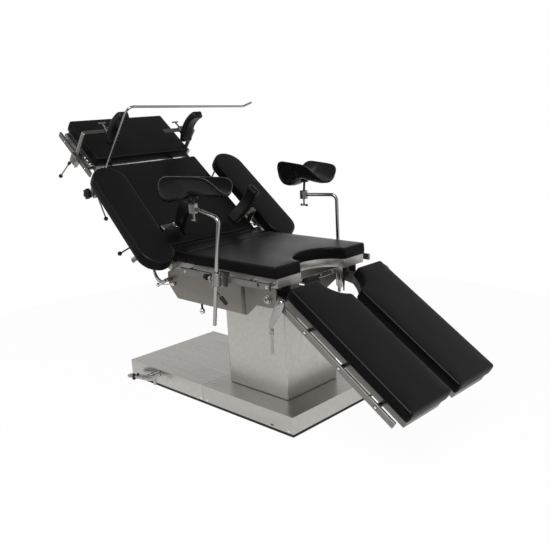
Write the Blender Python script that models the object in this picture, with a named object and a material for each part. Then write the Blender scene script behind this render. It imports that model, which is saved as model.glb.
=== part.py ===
"""Operating table for gynaecology and general surgery, with its clamped accessories.

A sheet-metal base carries a telescoping column. On the column a cross joint
tilts the table top both ways. The top is a seat with a half-round cut-out, a
kidney bridge, a back section, a head section and two leg sections, each a pad
on a tray with accessory rails. Arm boards, shoulder supports, side supports,
leg crutches and a screen rod are clamped to the rails.

Metres, +Z up. X runs along the table, the foot end at +X. Y runs across it, the
near side at -Y. The origin is the middle of the base, on the floor.
Each tilted section is drawn as if it lay flat, round its own hinge, and then
turned by its angle.
"""
from math import atan2, cos, hypot, pi, radians, sin, tan

import bmesh
import bpy
from mathutils import Matrix, Vector

# Clearances
GAP = 0.0003            # between faces that touch
RUN = 0.0006            # round a shaft or a sliding rod

# Base
BASE_LENGTH = 1.030
BASE_WIDTH = 0.510
BASE_HEIGHT = 0.081
PLINTH_HEIGHT = 0.012
PLINTH_INSET = 0.0015
SHEET = 0.002
SEAM = 0.001            # slit between the two base covers
COVER_EDGE = 0.004      # bend radius of the covers' upright edges
DRAIN_SLOT = (0.405, 0.022, 0.016, 0.005)   # x, z, length, height
PEDAL_PIVOT = (-0.350, 0.046)
PEDAL_SHAFT = 0.008
PEDAL_OUT = 0.045       # from the base's side out to the pedal
PEDAL_Y = -(BASE_WIDTH / 2 + PEDAL_OUT)

# Column and lift
COLUMN_X = 0.228
COLUMN_LENGTH = 0.332
COLUMN_WIDTH = 0.300
COLUMN_BOTTOM = 0.085
COLUMN_TOP = 0.455
COLUMN_EDGE = 0.005
INNER_SLIDE = 0.002     # between the sleeve and the fixed inner column
INNER_WALL = 0.004
INNER_TOP = 0.400
CYLINDER_RADIUS = 0.040
RAM_RADIUS = 0.030
CYLINDER_TOP = 0.380
RAM_BOTTOM = 0.030

# Cross joint that tilts the top
TILT_RISE = 0.057       # from the column's top up to the joint's middle
TILT_HEIGHT = COLUMN_TOP + TILT_RISE
CROSS_HALF = (0.060, 0.055, 0.025)
TILT_PIN = 0.012
EAR_CENTRE = 0.085
EAR_THICK = 0.012
EAR_RADIUS = 0.025
HEAD_PLATE = (0.200, 0.110, 0.012)

# Pads, trays and rails, the same on every section
PAD_THICK = 0.046
HEAD_PAD_THICK = 0.050
PAD_HALF = 0.260        # half of the pad's width
PAD_ROUND = 0.009
TRAY_HALF = PAD_HALF - 0.010
TRAY_DEPTH = 0.034
TRAY_SIDE = 0.035       # width of the tray's side members
TRAY_SKIN = 0.004
RAIL_CENTRE = TRAY_HALF + 0.040
RAIL_THICK = 0.010
RAIL_HEIGHT = 0.025
RAIL_DROP = 0.067       # from the pad's face down to the rail's middle
SPACER_RADIUS = 0.008

# Seat and kidney bridge
SEAT_RISE = 0.135       # from the joint's middle up to the seat's face
SEAT_TOP = TILT_HEIGHT + SEAT_RISE
SEAT_START = -0.026
SEAT_END = 0.473
NOTCH_REACH = 0.107     # the cut-out's depth, and half of its width
NOTCH_HALF = 0.125
BAND_THICK = 0.0025
BAND_INSET = 0.002      # from the pad's cut-out out to the band
KIDNEY_START = -0.160
KIDNEY_GAP = 0.002
KIDNEY_POST = 0.010
KIDNEY_POST_Y = 0.120
KIDNEY_POST_LENGTH = 0.140
SEAT_TRAY_START = -0.165
SEAT_TRAY_END = 0.470
SEAT_RAIL = (-0.030, 0.470)
SEAT_SPACERS = (0.000, 0.345, 0.445)

# Side plates under the seat
PLATE_OUTER = TRAY_HALF - 0.015
PLATE_THICK = 0.005
PLATE_DEPTH = 0.215     # from the seat's face down to the plates' lower edge
PLATE_BOTTOM = SEAT_TOP - PLATE_DEPTH
LEVER_HUB = (-0.178, TILT_HEIGHT)
RELEASE_HUB = (-0.154, TILT_HEIGHT - 0.018)
KNOB_PLACE = (0.013, -PLATE_OUTER + PLATE_THICK / 2)

# Back and head sections
BACK_TOP = 0.003        # the pad's face above the hinge
BACK_HINGE = (-0.1514, SEAT_TOP - BACK_TOP)
BACK_ANGLE = 39.08
BACK_START = 0.018      # from the hinge to the pad
BACK_LENGTH = 0.512
HINGE_EAR = (PAD_HALF + 0.0023, PAD_HALF + 0.0083)
HINGE_PIN = 0.006
HINGE_EYE = 0.014
BACK_RAIL = (0.035, 0.515)
BACK_SPACERS = (0.170, 0.300, 0.430)
HEAD_HINGE = (0.549, -0.062)
HEAD_START = 0.579
HEAD_LENGTH = 0.269
HEAD_RAIL = (0.556, 0.843)
HEAD_RAIL_DROP = 0.073
HEAD_SPACERS = (0.600, 0.790)
HEAD_EAR_BACK = (0.160, 0.170)
HEAD_EAR_HEAD = (0.1703, 0.1803)

# Leg sections
LEG_PIVOT = (0.400, TILT_HEIGHT)
LEG_ANGLE = 33.65
LEG_START = 0.081
LEG_LENGTH = 0.603
LEG_TOP = 0.139         # the pad's face above the pivot
LEG_INNER = 0.026
LEG_OUTER = PAD_HALF + 0.006
LEG_NOTCH = (0.103, 0.115)
LEG_RAIL = (0.100, 0.663)
LEG_SPACERS = (0.229, 0.404, 0.581)
LEG_BOLT = 0.0115
LEG_ARM_THICK = 0.012
LOCK_HUB = (0.106, LEG_TOP - RAIL_DROP)

# Arm boards, measured in the back section's frame
ARM_HALF = 0.0785
ARM_PIVOT = -0.0255
ARM_REACH = 0.4905      # from the pivot to the far tip
ARM_TOP = 0.062
ARM_THICK = 0.050
ARM = {
    "near": {"centre": PAD_HALF + ARM_HALF + 0.0155, "turn": 4.3},
    "far": {"centre": PAD_HALF + ARM_HALF + 0.0200, "turn": 0.0},
}

# Shoulder supports, side supports and screen, in the same frame
SHOULDER_BAR = 0.022
SHOULDER_BAR_HEIGHT = 0.073
SHOULDER_PAD_RADIUS = 0.170
SHOULDER_PAD_ENDS = (211, 144.5)    # degrees round its hollow, low end first
SHOULDER = {
    "near": {"place": 0.673, "reach": 0.186, "pad_y": 0.174},
    "far": {"place": 0.643, "reach": 0.117, "pad_y": 0.225},
}
SIDE_PAD_RADIUS = 0.205
SIDE_PAD_WIDTH = 0.058
SIDE_PAD_PLACE = 0.068
SIDE_PAD_THICK = 0.030
SIDE_BAR_HEIGHT = 0.068
SIDE_BAR_END = PAD_HALF - 0.0525
SIDE_PAD_CENTRE = (SIDE_BAR_END - SIDE_PAD_RADIUS - 0.0205, 0.160)
SCREEN_PLACE = 0.481
SCREEN_Y = RAIL_CENTRE - 0.005
SCREEN_ROD = 0.005
SCREEN_TOP = 0.361      # from the hinge's level up to the rod's corner
SCREEN_END = (0.378, 0.327)
SCREEN_TIP = (0.423, 0.347)
STAR_FACE = RAIL_CENTRE + 0.038     # from the middle line out to the star knob's grip
STAR_THICK = 0.018
STAR_DROP = 0.043       # from the rail's middle down to the knob

# Leg crutches
CRUTCH_ROD = 0.0075
CRUTCH_Y = RAIL_CENTRE + 0.035
CRUTCH_DROP = 0.190
CRUTCH_RISE = 0.235
CRUTCH_BEND = 0.025
CRUTCH_ARM = 0.150
SADDLE_WIDTH = 0.155
SADDLE_THICK = 0.020
SADDLE_WALL = 0.050     # from the floor's middle up to the rims
SADDLE_HEAD = (0.137, 0.045)    # reach from the stem, and how far the floor falls
SADDLE_FOOT = (0.155, 0.008)
CRUTCH = {
    "near": {"x": 0.2235, "lean": 9.0, "pitch": 0.7, "turn": 2.7},
    "far": {"x": 0.278, "lean": 0.0, "pitch": 0.0, "turn": 19.0},
}
SADDLE = {              # height of the trough over its socket, and how it is turned there
    "near": {"height": 0.048, "roll": -7.0, "pitch": 0.0, "yaw": 11.0},
    "far": {"height": 0.067, "roll": -4.0, "pitch": 3.0, "yaw": -12.5},
}
CLAMP_HEIGHT = SEAT_TOP - 0.062

SIDES = {"near": -1, "far": 1}
FINISH = {}


def purge():
    """Starts from an empty scene."""
    for obj in list(bpy.data.objects):
        bpy.data.objects.remove(obj, do_unlink=True)


def material(name, colour, roughness, metallic=0.0):
    """A Principled material with one plain colour."""
    mat = bpy.data.materials.new(name)
    mat.use_nodes = True
    shader = mat.node_tree.nodes["Principled BSDF"]
    shader.inputs["Base Color"].default_value = (*colour, 1.0)
    shader.inputs["Roughness"].default_value = roughness
    shader.inputs["Metallic"].default_value = metallic
    mat.diffuse_color = (*colour, 1.0)
    return mat


class Body:
    """What moves as one: an empty on the joint's axis, and its pieces as children.

    Without a tilt its pieces are drawn in the same frame as its parent's. With one,
    a new frame starts at the axis, turned about Y by that many degrees.
    """

    def __init__(self, name, parent=None, axis=(0.0, 0.0, 0.0), tilt=None):
        self.empty = bpy.data.objects.new(name + "_axis", None)
        self.empty.empty_display_size = 0.03
        self.empty.location = Vector(axis)
        self.drawn = Vector(axis)
        if parent:
            self.empty.parent = parent.empty
            self.empty.location -= parent.drawn
        if tilt is not None:
            self.empty.rotation_euler.y = radians(tilt)
            self.drawn = Vector()
        bpy.context.scene.collection.objects.link(self.empty)

    def add(self, name, form, finish):
        """Makes the named piece from a bmesh drawn in the body's frame."""
        form.transform(Matrix.Translation(-self.drawn))
        bmesh.ops.recalc_face_normals(form, faces=form.faces)
        mesh = bpy.data.meshes.new(name)
        form.to_mesh(mesh)
        form.free()
        mesh.materials.append(finish)
        mesh.shade_smooth()
        mesh.set_sharp_from_angle(angle=radians(35))
        obj = bpy.data.objects.new(name, mesh)
        obj.parent = self.empty
        bpy.context.scene.collection.objects.link(obj)


# Forms

def mirrored(side, low, high):
    """A span across the table, given by its distances from the middle line."""
    return tuple(sorted((side * low, side * high)))


def soften(form, radius, segments=1, sharp=30.0):
    """Bevels the edges whose faces meet at more than an angle."""
    edges = [e for e in form.edges if len(e.link_faces) == 2
             and e.calc_face_angle() > radians(sharp)]
    bmesh.ops.bevel(form, geom=edges, offset=radius, segments=segments,
                    profile=0.5, affect="EDGES", clamp_overlap=True)
    return form


def block(x, y, z, radius=0.0, along=None, segments=1):
    """A box from three spans. Its edges are rounded, all or those along one axis."""
    form = bmesh.new()
    spans = (x, y, z)
    size = [s[1] - s[0] for s in spans]
    middle = [(s[0] + s[1]) / 2 for s in spans]
    place = Matrix.Translation(middle) @ Matrix.Diagonal((*size, 1.0))
    bmesh.ops.create_cube(form, size=1.0, matrix=place)
    if radius:
        edges = form.edges[:]
        if along is not None:
            edges = [e for e in edges
                     if abs((e.verts[1].co - e.verts[0].co).normalized()[along]) > 0.9]
        bmesh.ops.bevel(form, geom=edges, offset=radius, segments=segments,
                        profile=0.5, affect="EDGES")
    return form


def prism(outline, span, axis):
    """A flat outline drawn out along an axis: (x, y) along z, (x, z) along y, (y, z) along x."""
    form = bmesh.new()
    place = {
        "z": lambda p, h: (p[0], p[1], h),
        "y": lambda p, h: (p[0], h, p[1]),
        "x": lambda p, h: (h, p[0], p[1]),
    }[axis]
    rings = [[form.verts.new(place(p, h)) for p in outline] for h in span]
    form.faces.new(rings[0])
    form.faces.new(rings[1][::-1])
    for i in range(len(outline)):
        j = (i + 1) % len(outline)
        form.faces.new((rings[0][i], rings[0][j], rings[1][j], rings[1][i]))
    bmesh.ops.recalc_face_normals(form, faces=form.faces)
    return form


def arc(centre, radius, start, end, steps):
    """Points on an arc or, with two radii, on an ellipse. Angles in degrees."""
    rx, ry = radius if isinstance(radius, tuple) else (radius, radius)
    turns = [radians(start + (end - start) * i / steps) for i in range(steps + 1)]
    return [(centre[0] + rx * cos(t), centre[1] + ry * sin(t)) for t in turns]


def link_outline(a, ra, b, rb, steps=6):
    """The outline of a strap round two eyes."""
    lean = atan2(b[1] - a[1], b[0] - a[0])
    slope = (ra - rb) / hypot(b[0] - a[0], b[1] - a[1])
    turn = pi / 2 - slope
    first = [(lean + turn + (2 * pi - 2 * turn) * i / steps) for i in range(steps + 1)]
    second = [(lean - turn + 2 * turn * i / steps) for i in range(steps + 1)]
    return ([(a[0] + ra * cos(t), a[1] + ra * sin(t)) for t in first]
            + [(b[0] + rb * cos(t), b[1] + rb * sin(t)) for t in second])


def turned(profile, at, axis, sides=16, hollow=False):
    """A profile of (radius, height) points turned round an axis through a place."""
    form = bmesh.new()
    rings = []
    for radius, height in profile:
        if radius < 1e-6:
            rings.append([form.verts.new((0, 0, height))])
        else:
            turns = [2 * pi * (i + 0.5) / sides for i in range(sides)]
            rings.append([form.verts.new((radius * cos(t), radius * sin(t), height))
                          for t in turns])
    pairs = list(zip(rings, rings[1:]))
    if hollow:
        pairs.append((rings[-1], rings[0]))
    for low, high in pairs:
        for i in range(sides):
            j = (i + 1) % sides
            corners = [low[i % len(low)], low[j % len(low)],
                       high[j % len(high)], high[i % len(high)]]
            corners = list(dict.fromkeys(corners))
            if len(corners) > 2:
                form.faces.new(corners)
    if not hollow:
        for ring in (rings[0], rings[-1]):
            if len(ring) > 1:
                form.faces.new(ring)
    turn = Vector((0, 0, 1)).rotation_difference(Vector(axis)).to_matrix().to_4x4()
    form.transform(Matrix.Translation(at) @ turn)
    bmesh.ops.recalc_face_normals(form, faces=form.faces)
    return form


def rod(start, end, radius, sides=12):
    """A plain round bar between two places."""
    run = Vector(end) - Vector(start)
    return turned([(radius, 0.0), (radius, run.length)], start, run, sides)


def bore(start, end, radius, sides=16):
    """A cutter whose flats leave the whole radius clear."""
    return rod(start, end, radius / cos(pi / sides), sides)


def rounded_path(points, radius, steps=5):
    """A path whose corners are true arcs."""
    points = [Vector(p) for p in points]
    path = [points[0]]
    for before, corner, after in zip(points, points[1:], points[2:]):
        u = (before - corner).normalized()
        v = (after - corner).normalized()
        half = u.angle(v) / 2
        reach = radius / tan(half)
        centre = corner + (u + v).normalized() * (radius / sin(half))
        first = corner + u * reach - centre
        last = corner + v * reach - centre
        sweep_angle = first.angle(last)
        for i in range(steps + 1):
            t = i / steps
            point = (first * sin((1 - t) * sweep_angle) + last * sin(t * sweep_angle))
            path.append(centre + point / sin(sweep_angle))
    path.append(points[-1])
    return path


def swept(path, radius, sides=10, flat=1.0):
    """A bar along a path. The radius is one value or one for each point.

    flat below 1 squeezes its section across the table.
    """
    path = [Vector(p) for p in path]
    radii = radius if isinstance(radius, (list, tuple)) else [radius] * len(path)
    form = bmesh.new()
    rings = []
    side = None
    for i, point in enumerate(path):
        run = (path[min(i + 1, len(path) - 1)] - path[max(i - 1, 0)]).normalized()
        if side is None:
            side = Vector((0, 1, 0)) if abs(run.y) < 0.9 else Vector((1, 0, 0))
        side = (side - run * side.dot(run)).normalized()
        up = run.cross(side)
        ring = []
        for k in range(sides):
            t = 2 * pi * (k + 0.5) / sides
            ring.append(form.verts.new(point + side * radii[i] * cos(t) * flat
                                       + up * radii[i] * sin(t)))
        rings.append(ring)
    for low, high in zip(rings, rings[1:]):
        for k in range(sides):
            j = (k + 1) % sides
            form.faces.new((low[k], low[j], high[j], high[k]))
    form.faces.new(rings[0])
    form.faces.new(rings[-1])
    bmesh.ops.recalc_face_normals(form, faces=form.faces)
    return form


def ball(at, radius):
    """A round knob."""
    form = bmesh.new()
    bmesh.ops.create_icosphere(form, subdivisions=1, radius=radius,
                               matrix=Matrix.Translation(at))
    return form


def combined(base, tools, operation):
    """The Boolean of closed forms, by the exact solver."""
    objects = []
    for form in (base, *tools):
        bmesh.ops.recalc_face_normals(form, faces=form.faces)
        mesh = bpy.data.meshes.new("form")
        form.to_mesh(mesh)
        form.free()
        obj = bpy.data.objects.new("form", mesh)
        bpy.context.scene.collection.objects.link(obj)
        objects.append(obj)
    for tool in objects[1:]:
        step = objects[0].modifiers.new("step", "BOOLEAN")
        step.solver = "EXACT"
        step.operation = operation
        step.object = tool
    graph = bpy.context.evaluated_depsgraph_get()
    mesh = bpy.data.meshes.new_from_object(objects[0].evaluated_get(graph))
    result = bmesh.new()
    result.from_mesh(mesh)
    for obj in objects:
        bpy.data.objects.remove(obj, do_unlink=True)
    bmesh.ops.remove_doubles(result, verts=result.verts, dist=1e-6)
    bmesh.ops.dissolve_degenerate(result, edges=result.edges, dist=1e-6)
    return result


def joined(base, *parts):
    """One solid from forms that overlap."""
    return combined(base, parts, "UNION")


def cut(base, *tools):
    """The base less its cutters."""
    return combined(base, tools, "DIFFERENCE")


# Parts that several sections share

def pad(x, y, top, thick, radius=PAD_ROUND):
    """A plain cushion with rounded edges, under a face height."""
    return block(x, y, (top - thick, top), radius, segments=2)


def tray(x, half, top, thick):
    """A section's tray: a skin under the pad, with side and end members below it."""
    high = top - thick - GAP
    low = high - TRAY_DEPTH
    middle = (x[0] + x[1]) / 2
    form = block(x, (-half, half), (low, high), 0.002, along=2)
    ribs = TRAY_SIDE / 2
    inner = half - TRAY_SIDE
    wells = ((x[0] + TRAY_SIDE, middle - ribs), (middle + ribs, x[1] - TRAY_SIDE))
    cutters = [block(well, (-inner, inner), (low - 0.01, high - TRAY_SKIN))
               for well in wells]
    return cut(form, *cutters)


def rail(x, side, middle, spacers, inner):
    """An accessory rail: a flat bar held off the tray's side by round spacers."""
    form = block(x, mirrored(side, RAIL_CENTRE - RAIL_THICK / 2, RAIL_CENTRE + RAIL_THICK / 2),
                 (middle - RAIL_HEIGHT / 2, middle + RAIL_HEIGHT / 2), 0.0015, along=0)
    pins = [rod((place, side * inner, middle), (place, side * RAIL_CENTRE, middle),
                SPACER_RADIUS, 10) for place in spacers]
    return joined(form, *pins)


def jaw(x, side, middle, out, low, high):
    """A clamp's body that hooks round a rail, drawn round the rail's middle height."""
    inner = RAIL_CENTRE - RAIL_THICK / 2 - 0.006
    form = block(x, mirrored(side, inner, RAIL_CENTRE + out), (middle - low, middle + high),
                 0.002, along=0)
    reach = RAIL_THICK / 2 + GAP
    slot = block((x[0] - 0.01, x[1] + 0.01),
                 mirrored(side, RAIL_CENTRE - reach, RAIL_CENTRE + reach),
                 (middle - RAIL_HEIGHT / 2 - GAP, middle + RAIL_HEIGHT / 2 + GAP))
    mouth = block((x[0] - 0.01, x[1] + 0.01), mirrored(side, inner - 0.01, RAIL_CENTRE),
                  (middle - low - 0.01, middle + RAIL_HEIGHT / 4))
    return form, [slot, mouth]


def ball_lever(start, end, radius=0.0035, knob=0.009):
    """A thin clamp lever with a ball on its end."""
    return joined(rod(start, end, radius, 8), ball(end, knob))


# Base and column

def base_shell(end):
    """One half of the base's cover, open below and at the seam, and what is cut from it."""
    half = BASE_WIDTH / 2
    low = PLINTH_HEIGHT + GAP
    whole = mirrored(end, -0.05, BASE_LENGTH / 2)
    form = block(whole, (-half, half), (low, BASE_HEIGHT), COVER_EDGE, along=2, segments=3)
    well = block(mirrored(end, -0.06, BASE_LENGTH / 2 - SHEET), (-half + SHEET, half - SHEET),
                 (low - 0.01, BASE_HEIGHT - SHEET))
    other_half = block(mirrored(end, -0.06, SEAM / 2), (-half - 0.01, half + 0.01),
                       (low - 0.01, BASE_HEIGHT + 0.01))
    return form, [well, other_half]


def build_base(base):
    """The floor plate, the two covers over it, the fixed column and the lift's cylinder."""
    half_x = BASE_LENGTH / 2 - PLINTH_INSET
    half_y = BASE_WIDTH / 2 - PLINTH_INSET
    base.add("floor_plate", block((-half_x, half_x), (-half_y, half_y), (0.0, PLINTH_HEIGHT),
                                  0.003, along=2), FINISH["black_paint"])
    head, wells = base_shell(-1)
    hole = bore((PEDAL_PIVOT[0], -BASE_WIDTH / 2 - 0.01, PEDAL_PIVOT[1]),
                (PEDAL_PIVOT[0], -BASE_WIDTH / 2 + 0.01, PEDAL_PIVOT[1]), PEDAL_SHAFT + RUN)
    base.add("base_cover_head", cut(head, *wells, hole), FINISH["steel"])
    foot, wells = base_shell(1)
    room = COLUMN_LENGTH / 2 - SHEET - INNER_SLIDE + RUN
    across = COLUMN_WIDTH / 2 - SHEET - INNER_SLIDE + RUN
    mouth = block((COLUMN_X - room, COLUMN_X + room), (-across, across),
                  (BASE_HEIGHT - 0.01, BASE_HEIGHT + 0.01))
    x, z, length, height = DRAIN_SLOT
    slot = block((x - length / 2, x + length / 2), (-BASE_WIDTH / 2 - 0.01, -BASE_WIDTH / 2 + 0.01),
                 (z - height / 2, z + height / 2))
    base.add("base_cover_foot", cut(foot, *wells, mouth, slot), FINISH["steel"])
    stand = PLINTH_HEIGHT + GAP
    half_x = COLUMN_LENGTH / 2 - SHEET - INNER_SLIDE
    half_y = COLUMN_WIDTH / 2 - SHEET - INNER_SLIDE
    tube = block((COLUMN_X - half_x, COLUMN_X + half_x), (-half_y, half_y), (stand, INNER_TOP),
                 0.003, along=2)
    core = block((COLUMN_X - half_x + INNER_WALL, COLUMN_X + half_x - INNER_WALL),
                 (-half_y + INNER_WALL, half_y - INNER_WALL), (stand - 0.01, INNER_TOP + 0.01))
    base.add("inner_column", cut(tube, core), FINISH["steel"])
    wall = (RAM_RADIUS + RUN) / cos(pi / 24)
    base.add("lift_cylinder", turned(
        [(0.0, stand), (CYLINDER_RADIUS, stand), (CYLINDER_RADIUS, CYLINDER_TOP),
         (wall, CYLINDER_TOP), (wall, RAM_BOTTOM - 0.002), (0.0, RAM_BOTTOM - 0.002)],
        (COLUMN_X, 0, 0), (0, 0, 1), 24), FINISH["dark_steel"])


def build_pedal(pedal):
    """The brake pedal on the near side of the base, on a shaft through the cover."""
    x, z = PEDAL_PIVOT
    shaft = rod((x, -BASE_WIDTH / 2 + 0.012, z), (x, PEDAL_Y - 0.010, z), PEDAL_SHAFT, 16)
    arm = swept([(-0.470, PEDAL_Y, 0.034), (-0.410, PEDAL_Y, 0.038), (x, PEDAL_Y, z),
                 (-0.290, PEDAL_Y, 0.056), (-0.227, PEDAL_Y, 0.088)],
                [0.009, 0.010, 0.013, 0.010, 0.006], 10)
    tread = turned([(0.0, 0.0), (0.017, 0.0), (0.019, 0.003), (0.019, 0.009), (0.0, 0.010)],
                   (-0.485, PEDAL_Y, 0.026), (0, 0, 1), 16)
    grip = rod((-0.274, PEDAL_Y, 0.030), (-0.274, PEDAL_Y, 0.058), 0.007, 10)
    pedal.add("brake_pedal", joined(arm, shaft, tread, grip), FINISH["steel"])


def build_lift(lift):
    """The ram, the sleeve that rises with it and the head that carries the cross joint."""
    lift.add("lift_ram", rod((COLUMN_X, 0, RAM_BOTTOM), (COLUMN_X, 0, COLUMN_TOP - SHEET - GAP),
                             RAM_RADIUS, 24), FINISH["chrome"])
    half_x = COLUMN_LENGTH / 2
    half_y = COLUMN_WIDTH / 2
    sleeve = block((COLUMN_X - half_x, COLUMN_X + half_x), (-half_y, half_y),
                   (COLUMN_BOTTOM, COLUMN_TOP), COLUMN_EDGE, along=2, segments=3)
    core = block((COLUMN_X - half_x + SHEET, COLUMN_X + half_x - SHEET),
                 (-half_y + SHEET, half_y - SHEET), (COLUMN_BOTTOM - 0.01, COLUMN_TOP - SHEET),
                 COLUMN_EDGE - SHEET, along=2, segments=2)
    lift.add("column_cover", cut(sleeve, core), FINISH["steel"])
    length, width, thick = HEAD_PLATE
    low = COLUMN_TOP + GAP
    plate = block((COLUMN_X - length / 2, COLUMN_X + length / 2), (-width / 2, width / 2),
                  (low, low + thick), 0.004, along=2)
    outline = [(-EAR_RADIUS, low + thick / 2)] + [(EAR_RADIUS, low + thick / 2)]
    outline += arc((0, TILT_HEIGHT), EAR_RADIUS, 0, 180, 8)
    ears = []
    bores = []
    for end in (-1, 1):
        middle = COLUMN_X + end * EAR_CENTRE
        span = (middle - EAR_THICK / 2, middle + EAR_THICK / 2)
        ears.append(prism(outline, span, "x"))
        bores.append(bore((span[0] - 0.01, 0, TILT_HEIGHT), (span[1] + 0.01, 0, TILT_HEIGHT),
                          TILT_PIN + GAP))
    lift.add("column_head", cut(joined(plate, *ears), *bores), FINISH["dark_steel"])


def build_cross(cross):
    """The cross of the tilting joint: a block with two pins each way."""
    reach = EAR_CENTRE + EAR_THICK / 2 + 0.001
    x, y, z = CROSS_HALF
    form = block((COLUMN_X - x, COLUMN_X + x), (-y, y), (TILT_HEIGHT - z, TILT_HEIGHT + z), 0.004)
    along = rod((COLUMN_X - reach, 0, TILT_HEIGHT), (COLUMN_X + reach, 0, TILT_HEIGHT), TILT_PIN, 16)
    across = rod((COLUMN_X, -reach, TILT_HEIGHT), (COLUMN_X, reach, TILT_HEIGHT), TILT_PIN, 16)
    cross.add("tilt_cross", joined(form, along, across), FINISH["dark_steel"])


# Seat section

def half_notch(centre, reach, half, steps=12):
    """The half-round cut-out's line, from the near corner round to the far one."""
    return arc((centre, 0.0), (reach, half), 270, 90, steps)


def build_seat(top):
    """The seat's tray with the joint's ears, the band round the cut-out, the pad and rails."""
    high = SEAT_TOP - PAD_THICK - GAP
    low = high - TRAY_DEPTH
    inner = TRAY_HALF - TRAY_SIDE
    form = block((SEAT_TRAY_START, SEAT_TRAY_END), (-TRAY_HALF, TRAY_HALF), (low, high),
                 0.002, along=2)
    beam = EAR_RADIUS + 0.005
    well = (SEAT_TRAY_START + 0.012, SEAT_START - 0.012)
    pockets = [(SEAT_START + 0.020, COLUMN_X - beam), (COLUMN_X + beam, 0.322),
               (0.347, SEAT_TRAY_END - 0.015)]
    cutters = [block(well, (-inner, inner), (low - 0.01, high + 0.01))]
    cutters += [block(x, (-inner, inner), (low - 0.01, high - TRAY_SKIN)) for x in pockets]
    outer = BAND_INSET + BAND_THICK + GAP
    line = half_notch(SEAT_TRAY_END, NOTCH_REACH + outer, NOTCH_HALF + outer, 14)
    line += [(SEAT_TRAY_END + 0.01, NOTCH_HALF + outer), (SEAT_TRAY_END + 0.01, -NOTCH_HALF - outer)]
    cutters.append(prism(line, (low - 0.02, high + 0.02), "z"))
    form = cut(form, *cutters)
    post_x = (KIDNEY_START + SEAT_START - KIDNEY_GAP) / 2
    bridge = block((post_x - 0.020, post_x + 0.020), (-inner - 0.005, inner + 0.005),
                   (low, low + 0.017))
    outline = [(COLUMN_X + EAR_RADIUS, low + 0.005), (COLUMN_X - EAR_RADIUS, low + 0.005)]
    outline += arc((COLUMN_X, TILT_HEIGHT), EAR_RADIUS, 180, 360, 8)
    ears = []
    bores = []
    for side in (-1, 1):
        span = mirrored(side, EAR_CENTRE - EAR_THICK / 2, EAR_CENTRE + EAR_THICK / 2)
        ears.append(prism(outline, span, "y"))
        bores.append(bore((COLUMN_X, span[0] - 0.01, TILT_HEIGHT),
                          (COLUMN_X, span[1] + 0.01, TILT_HEIGHT), TILT_PIN + GAP))
        bores.append(bore((post_x, side * KIDNEY_POST_Y, low - 0.01),
                          (post_x, side * KIDNEY_POST_Y, low + 0.03), KIDNEY_POST + RUN))
        ears += seat_hinge(side, low)
    top.add("seat_frame", cut(joined(form, bridge, *ears), *bores), FINISH["steel"])
    build_band(top, low, high)
    outline = [(SEAT_START, -PAD_HALF), (SEAT_START, PAD_HALF), (SEAT_END, PAD_HALF)]
    outline += half_notch(SEAT_END, NOTCH_REACH, NOTCH_HALF)[::-1]
    outline += [(SEAT_END, -PAD_HALF)]
    cushion = prism(outline, (SEAT_TOP - PAD_THICK, SEAT_TOP), "z")
    top.add("seat_pad", soften(cushion, PAD_ROUND * 0.6), FINISH["leather"])
    for name, side in SIDES.items():
        top.add(name + "_seat_rail",
                rail(SEAT_RAIL, side, SEAT_TOP - RAIL_DROP, SEAT_SPACERS, TRAY_HALF + GAP),
                FINISH["steel"])
        build_side_plate(top, name, side, low)


def seat_hinge(side, low):
    """The seat's half of the back hinge: a plate with a pin, on a foot on the tray's side."""
    x, z = BACK_HINGE
    outer = (HINGE_EAR[1] + GAP, HINGE_EAR[1] + GAP + 0.006)
    foot = (x + 0.028, low + 0.017)
    plate = prism(link_outline((x, z), HINGE_EYE, foot, 0.017), mirrored(side, *outer), "y")
    lug = block((foot[0] - 0.013, foot[0] + 0.013), mirrored(side, TRAY_HALF - 0.003, outer[0] + 0.002),
                (low + 0.004, low + 0.030))
    pin = rod((x, side * (HINGE_EAR[0] - 0.0005), z), (x, side * (outer[1] - 0.001), z),
              HINGE_PIN, 12)
    return [plate, lug, pin]


def build_band(top, low, high):
    """The bright band bent round the seat's cut-out, under the pad's edge."""
    inner = half_notch(SEAT_TRAY_END, NOTCH_REACH + BAND_INSET, NOTCH_HALF + BAND_INSET, 14)
    back = BAND_INSET + BAND_THICK
    outer = half_notch(SEAT_TRAY_END, NOTCH_REACH + back, NOTCH_HALF + back, 14)
    top.add("notch_band", prism(inner + outer[::-1], (low + 0.001, high), "z"), FINISH["chrome"])


def build_side_plate(top, name, side, low):
    """A side plate under the seat, which carries the leg's bolt."""
    x, z = LEG_PIVOT
    inner = PLATE_OUTER - PLATE_THICK
    line = [(-0.150, low - GAP), (-0.195, z + 0.028), (-0.198, z - 0.009), (-0.187, z - 0.032),
            (-0.141, PLATE_BOTTOM), (0.281, PLATE_BOTTOM), (0.335, z - 0.032), (0.414, z - 0.031)]
    line += arc((x + 0.014, z - 0.002), 0.029, -90, 0, 4)[1:]
    line += [(x + 0.043, low - GAP)]
    plate = prism(line, mirrored(side, inner, PLATE_OUTER), "y")
    shaft = rod((x, side * (inner - LEG_ARM_THICK - 0.003), z), (x, side * (inner + 0.002), z),
                LEG_BOLT, 16)
    head = turned([(0.0, 0.0), (0.0135, 0.0), (0.0135, 0.006), (0.011, 0.009), (0.0, 0.009)],
                  (x, side * (PLATE_OUTER - 0.001), z), (0, side, 0), 16)
    top.add(name + "_side_plate", joined(plate, shaft, head), FINISH["plate"])


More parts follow.
